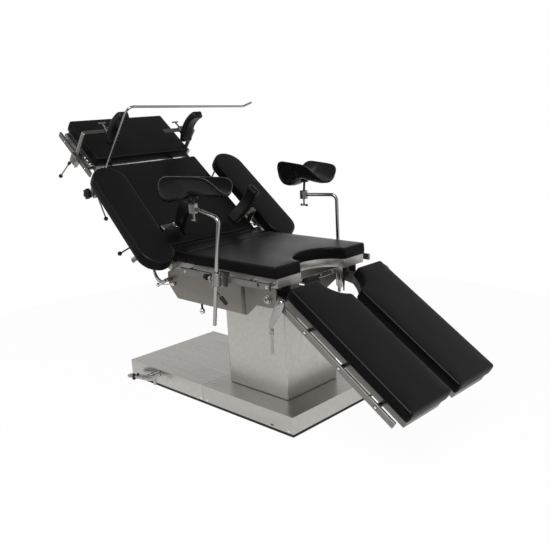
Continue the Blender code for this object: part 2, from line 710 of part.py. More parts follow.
def build_kidney(kidney):
    """The kidney bridge: a narrow pad on a plate with two posts that slide in the tray."""
    high = SEAT_TOP - PAD_THICK - GAP
    end = SEAT_START - KIDNEY_GAP
    middle = (KIDNEY_START + end) / 2
    half = TRAY_HALF - TRAY_SIDE - 0.002
    plate = block((SEAT_TRAY_START + 0.014, SEAT_START - 0.014), (-half, half),
                  (high - 0.010, high), 0.002, along=2)
    posts = [rod((middle, side * KIDNEY_POST_Y, high - KIDNEY_POST_LENGTH),
                 (middle, side * KIDNEY_POST_Y, high - 0.005), KIDNEY_POST, 16)
             for side in (-1, 1)]
    kidney.add("kidney_carrier", joined(plate, *posts), FINISH["steel"])
    kidney.add("kidney_pad", pad((KIDNEY_START, end), (-PAD_HALF, PAD_HALF), SEAT_TOP, PAD_THICK),
               FINISH["leather"])


def build_levers(bridge, release, knob):
    """The kidney bridge's handle, the thin release lever and the small pull knob."""
    x, z = LEVER_HUB
    face = -(PLATE_OUTER + GAP)
    y = -(PLATE_OUTER + 0.027)
    hub = rod((x, face, z), (x, y, z), 0.009, 12)
    handle = swept([(x, y, z), (x - 0.028, y, z - 0.012), (x - 0.060, y, z + 0.002),
                    (x - 0.079, y, z + 0.039)],
                   [0.0075, 0.0085, 0.0075, 0.005], 8)
    bridge.add("bridge_lever", joined(handle, hub), FINISH["black_plastic"])
    x, z = RELEASE_HUB
    y = -(PLATE_OUTER + 0.0085)
    hub = rod((x, face, z), (x, y - 0.006, z), 0.008, 12)
    tip = (x - 0.107, y, z - 0.018)
    form = joined(rod((x, y, z), tip, 0.0035, 8), ball(tip, 0.009), hub)
    release.add("release_lever", form, FINISH["chrome"])
    x, y = KNOB_PLACE
    form = turned([(0.0, 0.0), (0.009, 0.0), (0.012, 0.004), (0.012, 0.016), (0.006, 0.021),
                   (0.0045, 0.024), (0.0045, 0.040), (0.0, 0.040)],
                  (x, y, PLATE_BOTTOM - 0.040 - GAP), (0, 0, 1), 12)
    knob.add("pull_knob", form, FINISH["black_plastic"])


# Back and head sections, drawn flat with the head end towards -x from the hinge

def along(*places):
    """Distances up the back section as x in its frame, lowest x first."""
    return tuple(sorted(-place for place in places))


def build_back(back):
    """The back's tray with its hinge eyes, the pad and two rails."""
    end = BACK_START + BACK_LENGTH
    form = tray(along(BACK_START + 0.014, end - 0.004), TRAY_HALF, BACK_TOP, PAD_THICK)
    low = BACK_TOP - PAD_THICK - GAP - TRAY_DEPTH
    parts = []
    cuts = []
    for side in (-1, 1):
        foot = (-0.037, low + 0.018)
        plate = prism(link_outline((0.0, 0.0), HINGE_EYE, foot, 0.013),
                      mirrored(side, *HINGE_EAR), "y")
        lug = block((-0.049, -0.033), mirrored(side, TRAY_HALF - 0.003, HINGE_EAR[0] + 0.002),
                    (low + 0.004, low + 0.030))
        parts += [plate, lug]
        cuts.append(bore((0, side * (HINGE_EAR[0] - 0.01), 0), (0, side * (HINGE_EAR[1] + 0.01), 0),
                         HINGE_PIN + GAP, 12))
        parts += head_hinge_eyes(side, HEAD_EAR_BACK, HEAD_HINGE[0] - 0.060, low)
        cuts.append(bore((-HEAD_HINGE[0], side * 0.15, HEAD_HINGE[1]),
                         (-HEAD_HINGE[0], side * 0.19, HEAD_HINGE[1]), HINGE_PIN + GAP, 12))
    back.add("back_frame", cut(joined(form, *parts), *cuts), FINISH["steel"])
    back.add("back_pad", pad(along(BACK_START, end), (-PAD_HALF, PAD_HALF), BACK_TOP, PAD_THICK),
             FINISH["leather"])
    middle = BACK_TOP - RAIL_DROP
    for name, side in SIDES.items():
        form = rail(along(*BACK_RAIL), side, middle, along(*BACK_SPACERS), TRAY_HALF + GAP)
        peg = rod((-0.398, side * RAIL_CENTRE, middle),
                  (-0.398, side * RAIL_CENTRE, ARM_TOP - ARM_THICK - GAP), 0.004, 8)
        back.add(name + "_back_rail", joined(form, peg), FINISH["steel"])


def head_hinge_eyes(side, span, root, low):
    """One leaf of the head hinge, from the section's end member to the pin."""
    pivot = (-HEAD_HINGE[0], HEAD_HINGE[1])
    strap = link_outline(pivot, 0.013, (-root, low + 0.017), 0.015)
    return [prism(strap, mirrored(side, *span), "y")]


def build_head(head):
    """The head's tray with rails welded on, its hinge leaves with pins, and the pad."""
    end = HEAD_START + HEAD_LENGTH
    form = tray(along(HEAD_START + 0.004, end - 0.004), TRAY_HALF, BACK_TOP, HEAD_PAD_THICK)
    low = BACK_TOP - HEAD_PAD_THICK - GAP - TRAY_DEPTH
    parts = []
    for side in (-1, 1):
        parts += head_hinge_eyes(side, HEAD_EAR_HEAD, HEAD_HINGE[0] + 0.055, low)
        parts.append(rod((-HEAD_HINGE[0], side * (HEAD_EAR_BACK[0] - 0.001), HEAD_HINGE[1]),
                         (-HEAD_HINGE[0], side * (HEAD_EAR_HEAD[1] - 0.001), HEAD_HINGE[1]),
                         HINGE_PIN, 12))
        parts.append(rail(along(*HEAD_RAIL), side, BACK_TOP - HEAD_RAIL_DROP, along(*HEAD_SPACERS),
                          TRAY_HALF - 0.002))
    head.add("head_frame", joined(form, *parts), FINISH["steel"])
    head.add("head_pad", pad(along(HEAD_START, end), (-PAD_HALF, PAD_HALF), BACK_TOP,
                             HEAD_PAD_THICK), FINISH["leather"])


# Leg sections, drawn flat from the pivot towards +x

def build_leg(leg, name, side):
    """One leg's tray on its pivot arm, with its rail, and its pad with the cut-out's corner."""
    end = LEG_START + LEG_LENGTH
    high = LEG_TOP - PAD_THICK - GAP
    low = high - TRAY_DEPTH
    start = LEG_START + 0.004
    reach = LEG_NOTCH[0] + 0.012
    line = [(start, TRAY_HALF), (end - 0.004, TRAY_HALF), (end - 0.004, LEG_INNER + 0.019)]
    corner = arc((LEG_START, 0.0), (reach, LEG_NOTCH[1] + 0.012), 90, 0, 8)
    line += [p for p in corner if p[1] > LEG_INNER + 0.019 and p[0] > start][::-1]
    line += [(start, corner[0][1])]
    body = prism([(x, side * y) for x, y in line], (low, high), "z")
    inner = TRAY_HALF - TRAY_SIDE
    middle = (start + reach + end) / 2
    wells = [((start + TRAY_SIDE, 0.205), LEG_NOTCH[1] + 0.035), ((0.240, middle - 0.0175), 0.075),
             ((middle + 0.0175, end - 0.040), 0.075)]
    cutters = [block(x, mirrored(side, y, inner), (low - 0.01, high - TRAY_SKIN)) for x, y in wells]
    body = cut(body, *cutters)
    arm_outer = PLATE_OUTER - PLATE_THICK - GAP
    span = mirrored(side, arm_outer - LEG_ARM_THICK, arm_outer)
    arm = prism(link_outline((0.0, 0.0), 0.026, (0.122, 0.044), 0.021, 8), span, "y")
    bar = rail(LEG_RAIL, side, LEG_TOP - RAIL_DROP, LEG_SPACERS, TRAY_HALF - 0.002)
    hole = bore((0, span[0] - 0.01, 0), (0, span[1] + 0.01, 0), LEG_BOLT + GAP)
    leg.add(name + "_leg_frame", cut(joined(body, arm, bar), hole), FINISH["steel"])
    line = [(LEG_START, LEG_OUTER), (end, LEG_OUTER), (end, LEG_INNER)]
    corner = arc((LEG_START, 0.0), LEG_NOTCH, 90, 0, 12)
    inside = [p for p in corner if p[1] > LEG_INNER]
    last = LEG_START + LEG_NOTCH[0] * (1 - (LEG_INNER / LEG_NOTCH[1]) ** 2) ** 0.5
    line += [(last, LEG_INNER)] + inside[::-1]
    cushion = prism([(x, side * y) for x, y in line], (LEG_TOP - PAD_THICK, LEG_TOP), "z")
    leg.add(name + "_leg_pad", soften(cushion, PAD_ROUND * 0.6), FINISH["leather"])


def build_leg_lock(lock, name, side):
    """The leg's locking handle: a hub on the rail and a cranked, tapered grip."""
    y = side * (RAIL_CENTRE + RAIL_THICK / 2 + GAP + 0.011)
    path = [(0.0975, y, 0.108), (0.099, y, 0.086), (0.101, y, 0.050), (0.1035, y, -0.006),
            (0.117, y, -0.028), (0.127, y, -0.042), (0.164, y, -0.0985)]
    radii = [0.016, 0.019, 0.0165, 0.0115, 0.0115, 0.0075, 0.007]
    grip = swept(path, radii, 10, flat=0.55)
    face = side * (RAIL_CENTRE + RAIL_THICK / 2 + GAP)
    hub = rod((LOCK_HUB[0], face, LOCK_HUB[1]), (LOCK_HUB[0], y, LOCK_HUB[1]), 0.009, 12)
    lock.add(name + "_leg_lock", joined(grip, hub), FINISH["plate"])


# Accessories on the back's rails

def build_arm(back, swivel, name, side):
    """An arm board: a clamp on the rail, a swivelling carrier and the long round-ended pad."""
    middle = BACK_TOP - RAIL_DROP
    low = ARM_TOP - ARM_THICK
    clamp_x = along(0.105, 0.145)
    form, cutters = jaw(clamp_x, side, middle, 0.036, 0.026, 0.030)
    hub = (-ARM_PIVOT, side * ARM[name]["centre"])
    plan = link_outline(hub, 0.018, (-0.125, side * (RAIL_CENTRE + 0.022)), 0.014)
    arm = prism(plan, (-0.036, -0.020), "z")
    collar = turned([(0.018, 0.0), (0.018, 0.030)], (*hub, -0.034), (0, 0, 1), 16)
    lever = ball_lever((-0.125, side * (RAIL_CENTRE + 0.032), middle - 0.018),
                       (-0.112, side * (RAIL_CENTRE + 0.102), middle - 0.036))
    hole = bore((*hub, -0.06), (*hub, 0.02), 0.008 + RUN)
    back.add(name + "_arm_clamp", cut(joined(form, arm, collar, lever), *cutters, hole),
             FINISH["steel"])
    high = low - GAP
    turn = Matrix.Translation((*hub, 0)) @ Matrix.Rotation(radians(side * ARM[name]["turn"]), 4, "Z")
    turn @= Matrix.Translation((-hub[0], -hub[1], 0))
    plan = arc(hub, 0.024, -90, 90, 6) + arc((hub[0] - 0.34, hub[1]), 0.024, 90, 270, 6)
    plate = prism(plan, (high - 0.006, high), "z")
    pin = rod((*hub, -0.040), (*hub, high - 0.003), 0.008, 16)
    nut = rod((*hub, -0.048), (*hub, -0.0363), 0.013, 6)
    plate.transform(turn)
    swivel.add(name + "_arm_carrier", joined(plate, pin, nut), FINISH["steel"])
    far_end = hub[0] - ARM_REACH + ARM_HALF
    plan = arc(hub, ARM_HALF, -90, 90, 14) + arc((far_end, hub[1]), ARM_HALF, 90, 270, 14)
    cushion = prism(plan, (low, ARM_TOP), "z")
    cushion.transform(turn)
    swivel.add(name + "_arm_pad", soften(cushion, 0.010), FINISH["leather"])


def build_shoulder(body, name, side):
    """A shoulder support: a clamped, bent bar, a T screw and the curved pad it carries."""
    place = SHOULDER[name]["place"]
    reach = SHOULDER[name]["reach"]
    pad_y = SHOULDER[name]["pad_y"]
    middle = BACK_TOP - HEAD_RAIL_DROP
    bar_x = along(place - SHOULDER_BAR / 2, place + SHOULDER_BAR / 2)
    form, cutters = jaw(along(place - 0.030, place + 0.018), side, middle, 0.028, 0.036, 0.022)
    face = RAIL_CENTRE + RAIL_THICK / 2 + 0.004
    upright = block(bar_x, mirrored(side, face, face + 0.006), (middle, SHOULDER_BAR_HEIGHT + 0.003))
    across = block(bar_x, mirrored(side, reach, face + 0.006),
                   (SHOULDER_BAR_HEIGHT - 0.003, SHOULDER_BAR_HEIGHT + 0.003))
    holder_y = mirrored(side, pad_y - 0.014, pad_y + 0.014)
    holder = block(along(place - 0.018, place + 0.017), holder_y,
                   (SHOULDER_BAR_HEIGHT - 0.010, SHOULDER_BAR_HEIGHT + 0.010), 0.002)
    screw_x = -(place + 0.016)
    y = side * pad_y
    screw = rod((screw_x, y, SHOULDER_BAR_HEIGHT), (screw_x - 0.042, y, SHOULDER_BAR_HEIGHT), 0.004, 8)
    tee = rod((screw_x - 0.042, y - 0.018, SHOULDER_BAR_HEIGHT),
              (screw_x - 0.042, y + 0.018, SHOULDER_BAR_HEIGHT), 0.004, 8)
    lever = ball_lever((-place - 0.014, side * (RAIL_CENTRE + 0.023), middle - 0.030),
                       (-place - 0.038, side * (RAIL_CENTRE + 0.032), middle - 0.135))
    centre = (-(place - 0.018 - GAP) + SHOULDER_PAD_RADIUS, SHOULDER_BAR_HEIGHT + 0.052)
    stud = rod((-place, y, SHOULDER_BAR_HEIGHT), (-place + 0.040, y, SHOULDER_BAR_HEIGHT), 0.009, 12)
    hollow = rod((centre[0], y - 0.05, centre[1]), (centre[0], y + 0.05, centre[1]),
                 SHOULDER_PAD_RADIUS + GAP, 96)
    parts = (upright, across, holder, screw, tee, lever, cut(stud, hollow))
    body.add(name + "_shoulder_bracket", joined(cut(form, *cutters), *parts), FINISH["steel"])
    outer = SHOULDER_PAD_RADIUS
    inner = outer - 0.032
    low, high = SHOULDER_PAD_ENDS
    line = arc(centre, outer, low, high, 11) + arc(centre, inner, high, low, 11)
    cushion = prism(line, mirrored(side, pad_y - 0.028, pad_y + 0.028), "y")
    body.add(name + "_shoulder_pad", soften(cushion, 0.007), FINISH["leather"])


def build_side_support(back, swivel, name, side):
    """A body side support: a clamped bar that rises beside the pad, and a curved pad."""
    middle = BACK_TOP - RAIL_DROP
    form, cutters = jaw(along(0.047, 0.084), side, middle, 0.018, 0.026, 0.020)
    bar_x = along(SIDE_PAD_PLACE - 0.012, SIDE_PAD_PLACE + 0.012)
    corridor = (PAD_HALF + 2 * GAP, PAD_HALF + 2 * GAP + 0.0055)
    base = block(bar_x, mirrored(side, corridor[0], RAIL_CENTRE + 0.010), (middle + 0.0145, middle + 0.0195))
    upright = block(bar_x, mirrored(side, *corridor), (middle + 0.0145, SIDE_BAR_HEIGHT))
    across = block(bar_x, mirrored(side, SIDE_BAR_END, corridor[1]),
                   (SIDE_BAR_HEIGHT - 0.006, SIDE_BAR_HEIGHT))
    ring = 0.009
    y, z = side_pin(side)
    eye = prism(link_outline((y, z), ring, (side * (SIDE_BAR_END + 0.006), z), 0.003),
                along(SIDE_PAD_PLACE - 0.005, SIDE_PAD_PLACE + 0.005), "x")
    hole = bore((-SIDE_PAD_PLACE - 0.02, y, z), (-SIDE_PAD_PLACE + 0.02, y, z), 0.004 + GAP, 12)
    lever = ball_lever((-0.066, side * (RAIL_CENTRE + 0.014), middle - 0.018),
                       (-0.060, side * (RAIL_CENTRE + 0.040), middle - 0.075))
    back.add(name + "_side_bracket",
             cut(joined(cut(form, *cutters), base, upright, across, eye, lever), hole),
             FINISH["steel"])
    span = along(SIDE_PAD_PLACE - SIDE_PAD_WIDTH / 2, SIDE_PAD_PLACE + SIDE_PAD_WIDTH / 2)
    centre = (side * SIDE_PAD_CENTRE[0], SIDE_PAD_CENTRE[1])
    outer = SIDE_PAD_RADIUS + SIDE_PAD_THICK / 2
    inner = SIDE_PAD_RADIUS - SIDE_PAD_THICK / 2
    line = arc((0, 0), outer, -42, 14, 12) + arc((0, 0), inner, 14, -42, 12)
    line = [(centre[0] + side * p[0], centre[1] + p[1]) for p in line]
    cushion = soften(prism(line, span, "x"), 0.008)
    swivel.add(name + "_side_pad", joined(cushion, *side_yoke(side)), FINISH["leather"])


def side_pin(side):
    """Where a side support's pad turns, across the table and above the back's hinge."""
    return side * (SIDE_BAR_END - 0.0093), SIDE_BAR_HEIGHT - 0.003


def side_yoke(side):
    """The yoke that joins the curved pad to its pin."""
    y, z = side_pin(side)
    pin = rod((-SIDE_PAD_PLACE - 0.014, y, z), (-SIDE_PAD_PLACE + 0.014, y, z), 0.004, 12)
    cheeks = []
    for end in (-1, 1):
        middle = -SIDE_PAD_PLACE + end * 0.0105
        outline = link_outline((y, z), 0.008, (y - side * 0.016, z), 0.006)
        cheeks.append(prism(outline, (middle - 0.0045, middle + 0.0045), "x"))
    return [pin, *cheeks]


def build_screen(back, swing, knob):
    """The screen's clamp, its long bent rod and the clamp's star knob."""
    middle = BACK_TOP - RAIL_DROP
    x = -SCREEN_PLACE
    y = -SCREEN_Y
    form, cutters = jaw((x - 0.019, x + 0.019), -1, middle, 0.025, 0.058, 0.022)
    socket = turned([(0.012, 0.0), (0.012, 0.040)], (x, y, middle + 0.014), (0, 0, 1), 12)
    floor = middle + 0.028
    hole = bore((x, y, floor), (x, y, middle + 0.08), SCREEN_ROD + GAP)
    knob_z = middle - STAR_DROP
    lever = ball_lever((x + 0.016, -RAIL_CENTRE - 0.015, middle - 0.030),
                       (x + 0.155, -RAIL_CENTRE - 0.040, middle - 0.050))
    shaft = rod((x, -STAR_FACE + 0.018, knob_z), (x, -STAR_FACE + 0.0055, knob_z), 0.005, 10)
    back.add("screen_clamp", cut(joined(form, socket, lever, shaft), *cutters, hole),
             FINISH["steel"])
    path = rounded_path([(x, y, floor + GAP), (x, y, SCREEN_TOP), (x, *SCREEN_END), (x, *SCREEN_TIP)],
                        0.030)
    swing.add("screen_rod", swept(path, SCREEN_ROD, 10), FINISH["chrome"])
    turns = [2 * pi * i / 36 for i in range(36)]
    star = [(x + (0.0215 + 0.0025 * cos(6 * t)) * cos(t), knob_z + (0.0215 + 0.0025 * cos(6 * t)) * sin(t))
            for t in turns]
    grip = prism(star, (-STAR_FACE - STAR_THICK, -STAR_FACE), "y")
    hub = rod((x, -STAR_FACE + 0.0052, knob_z), (x, -STAR_FACE - 0.001, knob_z), 0.010, 12)
    knob.add("star_knob", joined(grip, hub), FINISH["black_plastic"])


# Leg crutches on the seat's rails

def build_crutch_clamp(slide, name, side):
    """A crutch's clamp: a jaw on the rail, a bored boss, a screw with a knob and a lever."""
    x = CRUTCH[name]["x"]
    lean = radians(CRUTCH[name]["lean"])
    middle = SEAT_TOP - RAIL_DROP
    form, cutters = jaw((x - 0.025, x + 0.025), side, middle, 0.026, 0.028, 0.026)
    way = Vector((sin(lean), 0, cos(lean)))
    seat = Vector((x, side * CRUTCH_Y, CLAMP_HEIGHT))
    boss = turned([(0.0165, -0.026), (0.0165, 0.026)], seat, way, 16)
    hole = bore(seat - way * 0.05, seat + way * 0.05, CRUTCH_ROD + RUN)
    y = side * (RAIL_CENTRE + 0.0195)
    screw = rod((x - 0.020, y, middle), (x - 0.072, y, middle), 0.004, 8)
    grip = turned([(0.006, 0.0), (0.012, 0.004), (0.012, 0.016), (0.008, 0.020)],
                  (x - 0.066, y, middle), (-1, 0, 0), 10)
    lever = swept([(x - 0.053, y, middle), (x - 0.052, y, middle - 0.027),
                   (x - 0.001, y, middle - 0.067), (x + 0.003, y, middle - 0.070),
                   (x + 0.031, y, middle - 0.092)],
                  [0.0075, 0.0035, 0.0035, 0.0085, 0.0070], 8)
    slide.add(name + "_crutch_clamp", cut(joined(form, boss, screw, grip, lever), *cutters, hole),
              FINISH["steel"])


def arm_end(name, side):
    """Where a crutch's arm ends, in the rod's own frame, and the arm's direction."""
    turn = radians(CRUTCH[name]["turn"])
    pitch = radians(CRUTCH[name]["pitch"])
    way = Vector((-cos(turn) * cos(pitch), -side * sin(turn) * cos(pitch), sin(pitch)))
    return Vector((0, 0, CRUTCH_RISE)) + way * CRUTCH_ARM, way


def build_crutch(post, name, side):
    """The bent rod that stands in the clamp and reaches in to the socket."""
    end, _ = arm_end(name, side)
    path = rounded_path([(0, 0, -CRUTCH_DROP), (0, 0, CRUTCH_RISE), tuple(end)], CRUTCH_BEND)
    post.add(name + "_crutch_rod", swept(path, CRUTCH_ROD, 12), FINISH["chrome"])


def build_saddle(tilt, name, side):
    """The socket with its stem and collar, and the trough of the leg pad above."""
    octagon = turned([(0.018, -0.018), (0.018, 0.018)], (0, 0, 0), (0, 0, 1), 8)
    seat = SADDLE[name]["height"]
    pose = Matrix.Rotation(radians(SADDLE[name]["yaw"]), 4, "Z")
    pose @= Matrix.Rotation(radians(SADDLE[name]["pitch"]), 4, "Y")
    pose @= Matrix.Rotation(radians(SADDLE[name]["roll"]), 4, "X")
    stem = turned([(0.005, 0.010), (0.005, seat - 0.012), (0.017, seat - 0.012), (0.017, seat - 0.0016)],
                  (0, 0, 0), (0, 0, 1), 14)
    stem.transform(pose)
    lever = swept([(0.0, 0.0, -0.010), (0.0, 0.0, -0.045)], 0.004, 8)
    tee = rod((-0.016, 0, -0.045), (0.016, 0, -0.045), 0.004, 8)
    lean = Matrix.Rotation(radians(CRUTCH[name]["lean"]), 3, "Y")
    way = lean @ arm_end(name, side)[1]
    hole = bore(way * 0.0005, way * -0.05, CRUTCH_ROD + GAP)
    tilt.add(name + "_crutch_socket", cut(joined(octagon, stem, lever, tee), hole),
             FINISH["black_plastic"])
    shell = trough(seat)
    shell.transform(pose)
    tilt.add(name + "_crutch_pad", shell, FINISH["leather"])


def trough(height):
    """A leg trough: walls with level tops, rounded corners, and a floor that falls to its ends."""
    across = 8
    length = 14
    form = bmesh.new()
    top = []
    bottom = []
    for i in range(length + 1):
        u = 0.995 * sin(pi * (i / length - 0.5))
        reach, fall = SADDLE_HEAD if u < 0 else SADDLE_FOOT
        sag = fall * u * u
        narrow = (1 - abs(u) ** 6) ** 0.42
        upper = []
        lower = []
        for k in range(across + 1):
            v = -1 + 2 * k / across
            lift = abs(v * narrow) ** 2.2
            y = v * narrow * SADDLE_WIDTH / 2
            z = height + SADDLE_THICK - sag + (SADDLE_WALL + sag) * lift
            upper.append(form.verts.new((u * reach, y, z)))
            lower.append(form.verts.new((u * reach, y * (1 - 0.10 * lift),
                                         z - SADDLE_THICK * (1 - 0.35 * lift))))
        top.append(upper)
        bottom.append(lower)
    for i in range(length):
        for k in range(across):
            form.faces.new((top[i][k], top[i + 1][k], top[i + 1][k + 1], top[i][k + 1]))
            form.faces.new((bottom[i][k], bottom[i][k + 1], bottom[i + 1][k + 1], bottom[i + 1][k]))
        for k in (0, across):
            form.faces.new((top[i][k], top[i + 1][k], bottom[i + 1][k], bottom[i][k]))
    for i in (0, length):
        for k in range(across):
            form.faces.new((top[i][k], top[i][k + 1], bottom[i][k + 1], bottom[i][k]))
    bmesh.ops.recalc_face_normals(form, faces=form.faces)
    return form


def main():
    """Builds the whole table."""
    purge()
    FINISH.update(
        steel=material("brushed_stainless", (0.42, 0.41, 0.39), 0.35, 1.0),
        plate=material("side_plate_steel", (0.26, 0.25, 0.24), 0.42, 1.0),
        dark_steel=material("machined_steel", (0.20, 0.20, 0.20), 0.45, 1.0),
        chrome=material("polished_steel", (0.62, 0.62, 0.62), 0.12, 1.0),
        leather=material("black_upholstery", (0.014, 0.014, 0.015), 0.42),
        black_plastic=material("black_plastic", (0.016, 0.016, 0.016), 0.40),
        black_paint=material("black_paint", (0.010, 0.010, 0.010), 0.55),
    )
    base = Body("base")
    build_base(base)
    build_pedal(Body("pedal", base, (PEDAL_PIVOT[0], PEDAL_Y, PEDAL_PIVOT[1])))
    lift = Body("lift", base, (COLUMN_X, 0, COLUMN_BOTTOM))
    build_lift(lift)
    cross = Body("cross_tilt", lift, (COLUMN_X, 0, TILT_HEIGHT))
    build_cross(cross)
    top = Body("long_tilt", cross, (COLUMN_X, 0, TILT_HEIGHT))
    build_seat(top)
    kidney_x = (KIDNEY_START + SEAT_START - KIDNEY_GAP) / 2
    build_kidney(Body("kidney", top, (kidney_x, 0, SEAT_TOP - PAD_THICK)))
    build_levers(Body("bridge_lever", top, (LEVER_HUB[0], -PLATE_OUTER, LEVER_HUB[1])),
                 Body("release_lever", top, (RELEASE_HUB[0], -PLATE_OUTER, RELEASE_HUB[1])),
                 Body("pull_knob", top, (*KNOB_PLACE, PLATE_BOTTOM)))
    back = Body("back", top, (BACK_HINGE[0], 0, BACK_HINGE[1]), BACK_ANGLE)
    build_back(back)
    head = Body("head", back, (-HEAD_HINGE[0], 0, HEAD_HINGE[1]))
    build_head(head)
    screen = Body("screen", back, (-SCREEN_PLACE, -SCREEN_Y, 0))
    star = Body("star_knob", back, (-SCREEN_PLACE, -STAR_FACE - STAR_THICK / 2,
                                  BACK_TOP - RAIL_DROP - STAR_DROP))
    build_screen(back, screen, star)
    for name, side in SIDES.items():
        leg = Body(name + "_leg", top, (LEG_PIVOT[0], 0, LEG_PIVOT[1]), LEG_ANGLE)
        build_leg(leg, name, side)
        rail_face = side * (RAIL_CENTRE + RAIL_THICK / 2)
        build_leg_lock(Body(name + "_leg_lock", leg, (LOCK_HUB[0], rail_face, LOCK_HUB[1])),
                       name, side)
        build_arm(back, Body(name + "_arm", back, (-ARM_PIVOT, side * ARM[name]["centre"], 0)), name, side)
        shoulder = Body(name + "_shoulder", head, (-SHOULDER[name]["place"], side * RAIL_CENTRE,
                                                   BACK_TOP - HEAD_RAIL_DROP))
        build_shoulder(shoulder, name, side)
        pin_y, pin_z = side_pin(side)
        build_side_support(back, Body(name + "_side_pad", back, (-SIDE_PAD_PLACE, pin_y, pin_z)),
                           name, side)
        x = CRUTCH[name]["x"]
        lean = CRUTCH[name]["lean"]
        slide = Body(name + "_crutch_slide", top, (x, side * RAIL_CENTRE, SEAT_TOP - RAIL_DROP))
        build_crutch_clamp(slide, name, side)
        post = Body(name + "_crutch", slide, (x, side * CRUTCH_Y, CLAMP_HEIGHT), lean)
        end, _ = arm_end(name, side)
        build_crutch(post, name, side)
        tilt = Body(name + "_saddle", post, tuple(end), -lean)
        build_saddle(tilt, name, side)


main()
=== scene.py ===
"""Looks of the operating table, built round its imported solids.

Each Operator makes one group of pieces. Pieces on a tilted section are drawn flat in
that section's own frame, as its solids were, and then turned into place.
"""
from math import atan2, cos, hypot, pi, radians, sin, tan

import bmesh
import bpy
import numpy as np
from mathutils import Matrix, Vector, noise
from mathutils.geometry import delaunay_2d_cdt


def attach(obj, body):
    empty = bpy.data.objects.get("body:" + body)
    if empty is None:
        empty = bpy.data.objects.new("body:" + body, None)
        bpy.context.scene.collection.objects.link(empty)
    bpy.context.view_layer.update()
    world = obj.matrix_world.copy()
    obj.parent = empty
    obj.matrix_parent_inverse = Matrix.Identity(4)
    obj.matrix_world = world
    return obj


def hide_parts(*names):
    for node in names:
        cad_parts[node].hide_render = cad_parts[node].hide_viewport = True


bl_info = {
    "name": "Operating table looks",
    "version": (1, 0, 0),
    "blender": (4, 5, 0),
    "location": "3D View > Sidebar > Table",
    "description": "Cushions, steelwork, clamps and studio for an operating table",
    "category": "Object",
}

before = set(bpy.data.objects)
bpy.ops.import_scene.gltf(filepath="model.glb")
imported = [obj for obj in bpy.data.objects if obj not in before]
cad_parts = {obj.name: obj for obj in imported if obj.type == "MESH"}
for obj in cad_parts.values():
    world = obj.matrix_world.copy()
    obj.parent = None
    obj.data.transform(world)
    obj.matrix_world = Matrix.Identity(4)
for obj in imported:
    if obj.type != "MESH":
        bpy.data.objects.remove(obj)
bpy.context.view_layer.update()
SIDES = {"near": -1, "far": 1}
GAP = 0.0003               # between pieces that touch

# Frames of the tilted sections: the back with the head, and the legs
BACK_HINGE = (-0.1514, 0.0, 0.644)
BACK_ANGLE = radians(39.08)
LEG_PIVOT = (0.400, 0.0, 0.512)
LEG_ANGLE = radians(33.65)
BACK = Matrix.Translation(BACK_HINGE) @ Matrix.Rotation(BACK_ANGLE, 4, "Y")
LEG = Matrix.Translation(LEG_PIVOT) @ Matrix.Rotation(LEG_ANGLE, 4, "Y")
LEVEL = Matrix.Identity(4)

# Places that the solids share, in metres
SEAT_TOP = 0.647
PAD_TOP = 0.003            # the back's and head's cushions, above the back's hinge
PAD_HALF = 0.260
TRAY_HALF = 0.250
RAIL_CENTRE = 0.290
RAIL_FACE = 0.295
SEAT_RAIL = 0.580          # heights of the rails' middles, each in its section's frame
BACK_RAIL = -0.064
HEAD_RAIL = -0.070
LEG_RAIL = 0.072
PLATE_FACE = 0.235         # the side plates' outer faces, from the middle
PLATE_BOTTOM = 0.432
SCREEN_X, SCREEN_Y = -0.481, -0.285
SCREEN_FLOOR = BACK_RAIL + 0.028
SCREEN_SCREW = 0.043       # how far the clamp's screw is below the rail's middle
SHOULDER_BAR = 0.073       # height of the bar that carries a shoulder support
SHOULDER_HUB = 0.018       # from a shoulder support's bar to its cushion
SIDE_PAD_PIN = (0.1982, 0.065)
ARM_PIVOT = 0.0255
ROD_OUT, ROD_HEIGHT = 0.325, 0.585
ARM_HEIGHT, ARM_LENGTH = 0.235, 0.150
CRUTCH = {
    "near": {"x": 0.2235, "lean": 9.0, "pitch": 0.7, "turn": 2.7},
    "far": {"x": 0.278, "lean": 0.0, "pitch": 0.0, "turn": 19.0},
}
SADDLE = {
    "near": {"height": 0.048, "roll": -7.0, "pitch": 0.0, "yaw": 11.0, "fall": 0.034},
    "far": {"height": 0.067, "roll": -4.0, "pitch": 3.0, "yaw": -12.5, "fall": 0.045},
}
SHOULDER = {
    "near": {"place": 0.673, "reach": 0.186, "pad_y": 0.174},
    "far": {"place": 0.643, "reach": 0.117, "pad_y": 0.225},
}
ARM = {
    "near": {"centre": 0.3540, "turn": 4.3},
    "far": {"centre": 0.3585, "turn": 0.0},
}


class TableSizes(bpy.types.PropertyGroup):
    """Sizes of the cushions that a user would change."""

    pad_thick: bpy.props.FloatProperty(
        name="Cushion thickness", description="Thickness of the seat, back and leg cushions",
        default=0.046, min=0.02, max=0.10, unit="LENGTH")
    head_thick: bpy.props.FloatProperty(
        name="Head cushion thickness", description="Thickness of the head cushion",
        default=0.050, min=0.02, max=0.10, unit="LENGTH")
    edge: bpy.props.FloatProperty(
        name="Edge radius", description="Roundness of a cushion's upper edge",
        default=0.0085, min=0.002, max=0.02, unit="LENGTH")
    crown: bpy.props.FloatProperty(
        name="Crown", description="How far a cushion's middle stands above its edge",
        default=0.0022, min=0.0, max=0.01, unit="LENGTH")
    bulge: bpy.props.FloatProperty(
        name="Side bulge", description="How far a cushion's side stands out at half height",
        default=0.0012, min=0.0, max=0.01, unit="LENGTH")


